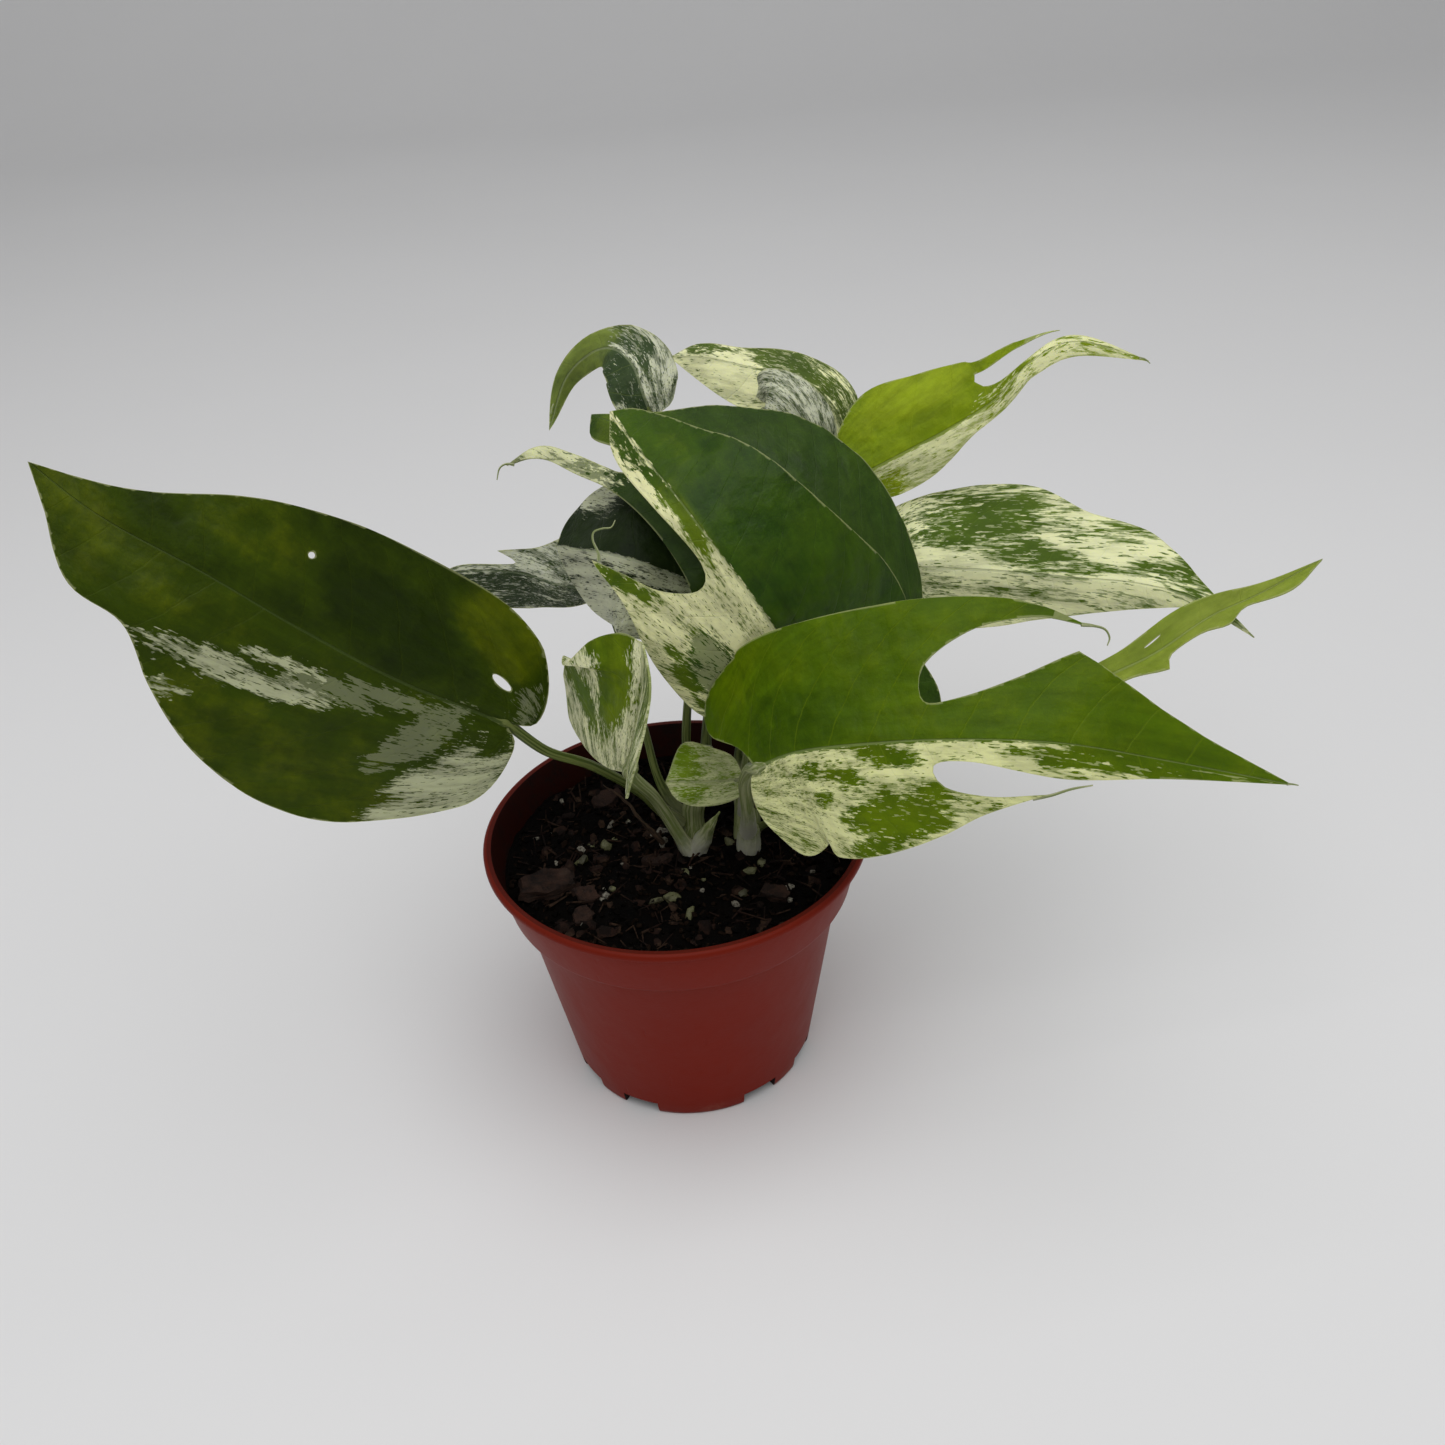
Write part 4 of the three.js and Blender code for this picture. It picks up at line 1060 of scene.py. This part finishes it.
# ---- Middle leaves ----
# Two broad dark leaves stand behind each other over the middle of the pot. Both have split on the left, and
# the front one is cream all down that side.

# Deep green on the right of the midrib, cream with ragged flecks on the left.
middle_split_skin = leaf_material(
    "middle_split_leaf", dark=(0.018, 0.052, 0.0006), mid=(0.04, 0.087, 0.001), light=(0.11, 0.17, 0.002),
    cream=(0.8, 0.8, 0.44), rib=(0.2, 0.25, 0.1), seed=5, grain=1, veining=0.03, sheen=0.15,
)
on_middle_split = make_leaf(
    "leaf_middle_split",
    {
        "midrib": [(36, -8, 130), (27, -12, 149), (17, -11, 166), (8, -2, 178), (0, 14, 184),
            (-7, 36, 187)],
        "face": (-0.12, -0.85, 0.5),
        "left": (
            (-4, -12), -0.35,
            [(0, 0), (-6, 6), (-6, 20), (3, 29), (24, 30), (46, 27), (69, 27)],
            [(69, 27), (56, 23), (43, 18), (36, 10), (42, 5), (64, 6), (88, 6), (101, 0)],
        ),
        "right": (
            (-4, -12), -0.55,
            [(0, 0), (-9, -5), (-16, -18), (-10, -31), (6, -34), (30, -29), (56, -24), (80, -15), (96, -7),
             (101, 0)],
        ),
    },
    middle_split_skin,
    {
        "cream": (0.72, 0, [(0, 14, 18, 13, 4.6, -8), (0.08, 14, 25.5, 14, 2, -8),
            (0.1, 53, 23.5, 12, 1.7, 12), (0, 60, 2, 17, 2.2, 0), (0.35, 89, 3, 14, 3, 0),
            (0.75, 58, 5.5, 14, 1.2, 8), (0.3, 60, 26, 6, 1, 0)]),
        "grey": (0, 0, [(0.8, 14, 18, 13, 4.6, -8)]),
        "tone": (0.6, -0.5, [(0.9, 58, 2, 20, 3, 0), (-0.4, 14, 18, 12, 5, -8), (0.1, 85, -2, 22, 10, 0),
            (-0.2, 20, -24, 16, 8, 0)]),
    },
)

# Deep green; only its long left finger is streaked with cream.
middle_rear_skin = leaf_material(
    "middle_rear_leaf", dark=(0.02, 0.05, 0.002), mid=(0.036, 0.076, 0.003), light=(0.075, 0.12, 0.006),
    cream=(0.74, 0.76, 0.45), rib=(0.12, 0.17, 0.07), seed=6, grain=1, veining=0.03, sheen=0.18,
)
on_middle_rear = make_leaf(
    "leaf_middle_rear",
    {
        "midrib": [(46, 3, 119), (35, 6, 143), (24, 14, 161), (12, 28, 172), (0, 44, 177), (-13, 62, 177)],
        "face": (0.15, -0.8, 0.55),
        "left": (
            (-4, -12), -0.35,
            [(0, 0), (-4, 5), (3, 18), (20, 24), (45, 19), (70, 17), (104, 17), (124, 17), (137, 23)],
            [(137, 23), (127, 14), (112, 12), (97, 12), (87, 11), (83, 6), (96, 6), (108, 6), (113, 0)],
        ),
        "right": (
            (-4, -12), -0.5,
            [(0, 0), (-8, -7), (-8, -26), (4, -40), (23, -45), (46, -45), (66, -39), (84, -22), (97, -7),
             (113, 0)],
        ),
    },
    middle_rear_skin,
    {
        "cream": (0, 0, [(0.62, 116, 17, 30, 6, 4), (0.3, 96, 14, 12, 2, 0)]),
        "grey": (0, 0, [(0.6, 110, 17, 24, 5, 0)]),
        "tone": (-0.4, -0.5, [(0, 100, -8, 20, 8, 0), (0.9, 100, -4, 9, 16, 0)]),
    },
)

# ---- Rear leaves ----
# Two smaller leaves show between the middle ones and the broad left leaf, in the shade of both.

# Almost black green above, cream-splashed below its midrib.
rear_dark_skin = leaf_material(
    "rear_dark_leaf", dark=(0.009, 0.018, 0.004), mid=(0.016, 0.028, 0.007), light=(0.04, 0.06, 0.015),
    cream=(0.55, 0.57, 0.4), rib=(0.16, 0.2, 0.11), seed=7, grain=1,
)
on_rear_dark = make_leaf(
    "leaf_rear_dark",
    {
        "midrib": [(14, 22, 140), (6, 20, 146), (-3, 20, 151), (-12, 25, 152), (-21, 38, 148)],
        "face": (0.1, -0.9, 0.42),
        "left": (
            (-5, -25), -0.6,
            [(0, 0), (-4, 7), (3, 17), (17, 21), (33, 22), (45, 21), (52, 14), (55, 6), (56, 0)],
        ),
        "right": (
            (-5, -25), -0.6,
            [(0, 0), (-3, -7), (3, -18), (14, -26), (30, -30), (45, -29), (55, -21), (58, -9), (56, 0)],
        ),
    },
    rear_dark_skin,
    {
        "cream": (0.72, 0, [(0.6, 51, -19, 8, 6, 0), (0.1, 14, 8, 12, 3, 10), (0.3, 30, 3, 14, 1.5, 0)]),
        "grey": (0.3, 0, [(0.6, 50, -18, 12, 8, 0)]),
        "tone": (-0.1, -0.3, []),
    },
)

# Folded almost shut, speckled on the far half and streaked grey-green on the near one.
rear_streaked_skin = leaf_material(
    "rear_streaked_leaf", dark=(0.024, 0.04, 0.014), mid=(0.045, 0.07, 0.025), light=(0.1, 0.13, 0.05),
    cream=(0.56, 0.58, 0.44), rib=(0.2, 0.24, 0.14), seed=8, grain=1.3,
)
on_rear_streaked = make_leaf(
    "leaf_rear_streaked",
    {
        "midrib": [(-16, 42, 132), (-27, 50, 131), (-39, 58, 132), (-54, 64, 131), (-65, 68, 128)],
        "face": (-0.3, -0.75, 0.6),
        "left": (
            (-55, -50), -0.2,
            [(0, 0), (5, 5), (17, 10), (31, 15), (45, 12), (57, 0)],
        ),
        "right": (
            (15, 15), -0.2,
            [(0, 0), (-4, -7), (3, -14), (15, -14), (25, -8), (34, -6)],
            [(34, -6), (29, -3), (34, -2), (46, -2), (57, 0)],
        ),
    },
    rear_streaked_skin,
    {
        "cream": (0.2, 0.55, []),
        "grey": (0.2, 0.4, []),
        "tone": (-0.4, -0.1, []),
    },
)

# ---- Top leaves ----
# Four leaves crown the rear of the plant. The left one arches over and hangs its tip down, two cream ones
# cross behind it, and the lime one has split near its tip.

# Dark on the left, mottled grey on the right, with a plain olive tip.
top_bowed_skin = leaf_material(
    "top_bowed_leaf", dark=(0.03, 0.052, 0.02), mid=(0.05, 0.08, 0.026), light=(0.2, 0.26, 0.05),
    cream=(0.6, 0.62, 0.46), rib=(0.3, 0.34, 0.2), seed=9, grain=1,
)
on_top_bowed = make_leaf(
    "leaf_top_bowed",
    {
        "midrib": [(4, 58, 176), (2, 60, 183), (0, 65, 189), (-5, 74, 191), (-12, 83, 187), (-20, 86, 179),
            (-26, 82, 166)],
        "face": (0.1, -0.85, 0.5),
        "left": (
            (-10, -10), -0.8,
            [(0, 0), (3, 7), (14, 9), (27, 8), (38, 5), (50, 4), (60, 2), (66, 0)],
        ),
        "right": (
            (-10, -10), -0.8,
            [(0, 0), (3, -8), (15, -12), (28, -11), (38, -6), (50, -4), (60, -2), (66, 0)],
        ),
    },
    top_bowed_skin,
    {
        "cream": (0.08, 0.5, [(0, 48, 0, 14, 12, 0), (0.5, 6, 8, 5, 2, 0), (0.15, 26, -4, 6, 3, 0)]),
        "grey": (0.1, 0.45, [(0, 52, 0, 18, 12, 0)]),
        "tone": (-0.4, -0.2, [(0.7, 52, 0, 18, 12, 0)]),
    },
)

# Cream at the arch and at the base, green between.
top_cream_skin = leaf_material(
    "top_cream_leaf", dark=(0.045, 0.08, 0.014), mid=(0.08, 0.125, 0.02), light=(0.14, 0.2, 0.03),
    cream=(0.84, 0.85, 0.5), rib=(0.3, 0.34, 0.16), seed=10, grain=1,
)
on_top_cream = make_leaf(
    "leaf_top_cream",
    {
        "midrib": [(61, 70, 160), (55, 70, 172), (45, 72, 179), (32, 76, 182), (21, 80, 184),
            (12, 86, 183)],
        "face": (0, -0.65, 0.75),
        "left": (
            (-15, -15), -0.5,
            [(0, 0), (1, 6), (10, 11), (22, 14), (35, 12), (50, 7), (64, 0)],
        ),
        "right": (
            (-10, -10), -0.5,
            [(0, 0), (1, -6), (12, -10), (26, -9), (42, -6), (56, -5), (64, 0)],
        ),
    },
    top_cream_skin,
    {
        "cream": (0.35, 0.25, [(0.85, 45, 3, 17, 8, 0), (0.1, 26, -2, 10, 5, 0), (0.85, 6, 5, 9, 4, 0),
            (0.1, 52, -4, 10, 2, 0)]),
        "grey": (0.2, 0.3, []),
        "tone": (0.1, 0.1, []),
    },
)

# Speckled all over, grey-white on green.
top_speckled_skin = leaf_material(
    "top_speckled_leaf", dark=(0.04, 0.065, 0.024), mid=(0.07, 0.1, 0.035), light=(0.12, 0.15, 0.06),
    cream=(0.62, 0.64, 0.48), rib=(0.3, 0.34, 0.2), seed=11, grain=1.4,
)
on_top_speckled = make_leaf(
    "leaf_top_speckled",
    {
        "midrib": [(48, 54, 162), (46, 52, 171), (42, 54, 178), (37, 59, 181), (35, 66, 177)],
        "face": (-0.1, -0.9, 0.45),
        "left": (
            (-5, -15), -0.6,
            [(0, 0), (0, 6), (8, 11), (20, 11), (30, 6), (37, 0)],
        ),
        "right": (
            (-5, -15), -0.6,
            [(0, 0), (2, -7), (10, -9), (20, -8), (30, -5), (37, 0)],
        ),
    },
    top_speckled_skin,
    {
        "cream": (0.52, 0.5, []),
        "grey": (0.3, 0.4, []),
        "tone": (0, 0, []),
    },
)

# Bright lime above the midrib, with a cream band folded under below it.
top_lime_skin = leaf_material(
    "top_lime_leaf", dark=(0.11, 0.165, 0.002), mid=(0.165, 0.24, 0.003), light=(0.27, 0.35, 0.01),
    cream=(0.84, 0.86, 0.48), rib=(0.34, 0.4, 0.14), seed=12, grain=1,
)
on_top_lime = make_leaf(
    "leaf_top_lime",
    {
        "midrib": [(57, 46, 157), (70, 48, 162), (86, 51, 168), (100, 55, 174), (110, 59, 182),
            (124, 62, 186), (146, 60, 179)],
        "face": (-0.1, -0.7, 0.7),
        "left": (
            (15, 5), -0.1,
            [(0, 0), (-2, 6), (5, 14), (18, 20), (32, 18), (48, 14), (64, 8), (79, 4)],
            [(79, 4), (63, 6), (49, 9), (49, 5), (62, 1.5), (82, 2), (98, 0)],
        ),
        "right": (
            (-50, -30), -0.3,
            [(0, 0), (3, -8), (12, -11), (24, -11), (40, -5), (60, -4), (82, -4), (98, 0)],
        ),
    },
    top_lime_skin,
    {
        "cream": (0, 0.66, [(0.02, 7, -8, 10, 5, 0), (0.5, 62, 1, 20, 2, 0), (0.45, 80, 0, 20, 5, 0)]),
        "grey": (0, 0.4, []),
        "tone": (0.3, 0.5, [(0.9, 30, 14, 18, 6, 0), (0.6, 8, -8, 9, 5, 0)]),
    },
)

# ---- Right leaves ----
# A long marbled leaf arches out to the right with its lower half folded under. Past it a narrow leaf,
# notched in its lower edge, turns up at the tip. A small dark leaf stands under the split one.

# Cream strokes fan out over green from the base.
right_marbled_skin = leaf_material(
    "right_marbled_leaf", dark=(0.048, 0.09, 0.008), mid=(0.085, 0.145, 0.012), light=(0.16, 0.23, 0.03),
    cream=(0.82, 0.84, 0.5), rib=(0.4, 0.44, 0.25), seed=13, grain=0.7,
)
on_right_marbled = make_leaf(
    "leaf_right_marbled",
    {
        "midrib": [(67, 38, 133), (79, 38, 132), (99, 38, 129), (119, 36, 126), (139, 34, 123),
            (156, 30, 118), (170, 22, 109)],
        "face": (0.05, -0.7, 0.72),
        "left": (
            (5, -10), -0.4,
            [(0, 0), (-3, 6), (1, 16), (15, 21), (32, 27), (46, 29), (60, 23), (75, 18), (92, 5), (110, 0)],
        ),
        "right": (
            (-55, -30), -0.3,
            [(0, 0), (3, -9), (14, -18), (32, -20), (52, -14), (74, -8), (94, -2), (110, 0)],
        ),
    },
    right_marbled_skin,
    {
        "cream": (0.46, 0.6, [(0.12, 30, 14, 16, 5, 18), (0.2, 52, 9, 10, 2.5, 10), (0.6, 66, 8, 20, 3, -8),
            (0.85, 20, 2, 18, 3, 0), (0.3, 88, 4, 16, 4, -6)]),
        "grey": (0.2, 0.4, []),
        "tone": (-0.1, 0, [(0.3, 60, 20, 20, 5, -15)]),
    },
)

# Plain pale lime, with one notch in its lower edge and one slit.
right_narrow_skin = leaf_material(
    "right_narrow_leaf", dark=(0.12, 0.17, 0.015), mid=(0.18, 0.24, 0.022), light=(0.25, 0.31, 0.04),
    cream=(0.5, 0.54, 0.3), rib=(0.28, 0.34, 0.13), seed=14, grain=1,
)
on_right_narrow = make_leaf(
    "leaf_right_narrow",
    {
        "midrib": [(113, 8, 105), (126, 10, 109), (139, 14, 112), (155, 20, 118), (171, 24, 122),
            (188, 26, 130)],
        "face": (-0.2, -0.45, 0.87),
        "left": (
            (10, 10), -0.2,
            [(0, 0), (5, 4), (20, 5), (40, 7), (56, 5), (70, 2), (82, 0)],
        ),
        "right": (
            (10, 10), -0.2,
            [(0, 0), (5, -4), (20, -4), (31, -7)],
            [(31, -7), (35, -3), (44, -3), (52, -5), (60, -2), (72, -4), (82, 0)],
        ),
    },
    right_narrow_skin,
    {
        "cream": (0, 0, []),
        "grey": (0, 0, []),
        "tone": (0.1, 0.3, [(0.6, 60, 0, 20, 6, 0)]),
    },
    holes=[(33, 3.2, 3.4, 0.22, 8)],
)

# Small, plain and dark.
hidden_small_skin = leaf_material(
    "hidden_small_leaf", dark=(0.02, 0.045, 0.006), mid=(0.035, 0.075, 0.006), light=(0.07, 0.12, 0.01),
    cream=(0.5, 0.52, 0.34), rib=(0.15, 0.2, 0.08), seed=15, grain=1,
)
on_hidden_small = make_leaf(
    "leaf_hidden_small",
    {
        "midrib": [(61, -12, 100), (63, -14, 114), (65, -12, 123), (67, -6, 130)],
        "face": (0.2, -0.85, 0.4),
        "left": (
            (-5, -10), -0.6,
            [(0, 0), (3, 6), (13, 8), (25, 5), (33, 0)],
        ),
        "right": (
            (-5, -10), -0.6,
            [(0, 0), (3, -6), (13, -9), (25, -6), (33, 0)],
        ),
    },
    hidden_small_skin,
    {
        "cream": (0, 0, []),
        "grey": (0, 0, []),
        "tone": (0, 0, []),
    },
)

# ---- Leaf stalks ----
# Each stalk starts as a clasping base on its stem, thins out, and swells again into the joint that holds the
# blade. It runs on into the midrib under the blade.

STALKS = [
    ("left_broad", on_left_broad, 1.45,
     [(1, 3, 76), (-5, 3, 84), (-11, 0, 93), (-21, -8, 107), (-31, -16, 118)]),
    ("left_young", on_left_young, 1.9, [(4, -2.5, 70), (2, -3, 74), (-3, -4, 87), (-6, -8, 96)]),
    ("front_young", on_front_young, 1, [(19.5, 2, 79), (19, 1, 83), (20, 1, 88)]),
    ("front_split", on_front_split, 1.7, [(20, -3, 73), (20, -9, 86), (19, -15, 101), (20, -24, 112)]),
    ("middle_split", on_middle_split, 1.5, [(22, 6, 80), (25, 4, 87), (31, -2, 100), (36, -5, 116)]),
    ("middle_rear", on_middle_rear, 1.5, [(23, 10, 84), (28, 11, 90), (36, 10, 104)]),
    ("rear_dark", on_rear_dark, 1.3, [(7, 8, 82), (5, 14, 90), (7, 20, 108), (12, 24, 126)]),
    ("rear_streaked", on_rear_streaked, 1.2, [(4, 6, 74), (-3, 12, 84), (-6, 21, 96), (-9, 33, 112)]),
    ("top_bowed", on_top_bowed, 1.3, [(10, 10, 86), (11, 18, 94), (15, 36, 120), (9, 50, 152)]),
    ("top_cream", on_top_cream, 1.4, [(23, 13, 90), (27, 20, 96), (43, 42, 116), (59, 66, 142)]),
    ("top_speckled", on_top_speckled, 1.2, [(20, 12, 85), (21, 18, 92), (32, 38, 118), (45, 52, 145)]),
    ("top_lime", on_top_lime, 1.4, [(24, 12, 92), (30, 16, 97), (46, 32, 120), (55, 42, 142)]),
    ("right_marbled", on_right_marbled, 1.4, [(21, 9, 80), (28, 13, 86), (44, 26, 104), (57, 36, 122)]),
    ("right_narrow", on_right_narrow, 1.3, [(21, 6, 75), (27, 6, 79), (57, 4, 98), (87, 6, 101)]),
    ("hidden_small", on_hidden_small, 1, [(20, 2, 70), (26, 0, 76), (44, -8, 88)]),
]
STALK_SWELL = [1.9, 1.35, 1.0, 0.92, 0.9, 0.9, 0.95, 1.15, 0.8, 0.4]
PALE_STALKS = ("left_young", "front_young", "front_split")
for name, on_blade, radius, points in STALKS:
    joint = [on_blade(-radius - 0.3, 0, -radius * 0.9), on_blade(2, 0, -1), on_blade(7, 0, -0.9)]
    bm = bmesh.new()
    rod_along(bm, points + joint, [radius * swell for swell in STALK_SWELL])
    skin = stem_skin if name in PALE_STALKS else stalk_skin_green
    finish_rod(f"{name}_stalk", bm, skin, "stalk", f"petiole_{name}")

# ---- Sheaths ----
# Papery sheaths wrapped each young blade. One still stands pale and pointed beside the left stem, and two
# have dried to brown threads.

dry_paper, tree, shader = new_material("dried_sheath", roughness=0.8, specular=0.25)
lie = node(tree, "Attribute", attribute_name="lie").outputs["Vector"]
drawn_out = node(tree, "Mapping", {"Vector": lie, "Scale": (1, 1, 0.1)}).outputs[0]
paper_streak = speckle(tree, drawn_out, 2.5, detail=4)
dry_colour = blend_colour(tree, fade(tree, paper_streak, 0.35, 0.65), (0.014, 0.009, 0.006, 1),
                          (0.075, 0.045, 0.025, 1))
tree.links.new(dry_colour, shader.inputs["Base Color"])
add_bump(tree, shader, paper_streak, 0.0004)

SHEATHS = [
    ("sheath_left", [(5.5, -3, 71), (7, -4, 75), (9, -5.6, 80), (12.2, -8, 87.5)],
     [2.9, 2.6, 1.7, 0.25], stem_skin),
    ("sheath_strand", [(-4, -1.6, 74), (-9, -4.5, 84), (-13, -5, 92), (-18, -8, 100)],
     [0.9, 0.5, 0.4, 0.15], dry_paper),
    ("sheath_dried", [(22.6, -11, 90), (23.4, -12.6, 98), (22.4, -13, 105), (22, -14, 112)],
     [0.9, 0.7, 0.4, 0.12], dry_paper),
]
for name, points, radii, skin in SHEATHS:
    bm = bmesh.new()
    rod_along(bm, points, radii, spacing=0.8, sides=16)
    for vert in bm.verts:
        vert.co += noise.noise_vector(vert.co / 3) * 0.3
    finish_rod(f"{name}_scale", bm, skin, "dried_sheath" if skin is dry_paper else "stalk", name)

# ---- Leaf tendrils ----
# The fingers and tips of the split leaves run out into dry, curling threads of leaf. Each starts inside the
# blade and wanders in a plane that leans back with the front view. Their depth is a guess.

thread_skin = stalk_material("tendril_skin", (0.2, 0.24, 0.1, 1), (0.42, 0.44, 0.26, 1),
                             (0.16, 0.12, 0.05, 1), 0.0)
THREADS = [
    ("middle_split_thread", on_middle_split(67, 26), 0.5,
     [(0, 2.1), (-1, 5.2), (-0.6, 7.3), (1.6, 8), (3.8, 8.1), (5, 9.8)]),
    ("middle_rear_thread", on_middle_rear(134, 21.8), 0.5, [(-2.4, 0.4), (-4.4, -0.8), (-5.4, -4)]),
    ("front_finger_thread", on_front_split(98, 28.2), 0.5,
     [(3, -0.6), (5.4, -1.6), (6.3, -3.6), (5.6, -5.4)]),
    ("front_lobe_thread", on_front_split(90, -13), 0.6, [(4, 0.2), (9, 1.2), (14, 1.6)]),
    ("front_tip_thread", on_front_split(142, 0), 0.4, [(1.4, -0.2), (2.8, -0.6)]),
    ("lime_tip_thread", on_top_lime(96, 0), 0.4, [(1.6, -0.4), (3, -1.8)]),
    ("rear_streaked_thread", on_rear_streaked(55, 0), 0.4, [(-2, 1.2), (-4, 2.4), (-5, 4.4)]),
]
LEANING_BACK = Vector((0, 0.548, 0.836))
for name, start, radius, wander in THREADS:
    points = [start, *(start + Vector((x, 0, 0)) + LEANING_BACK * y for x, y in wander)]
    bm = bmesh.new()
    rod_along(bm, points, [radius, radius * 0.6, radius * 0.5, radius * 0.3], spacing=0.5, sides=8)
    finish_rod(name, bm, thread_skin, "stalk")
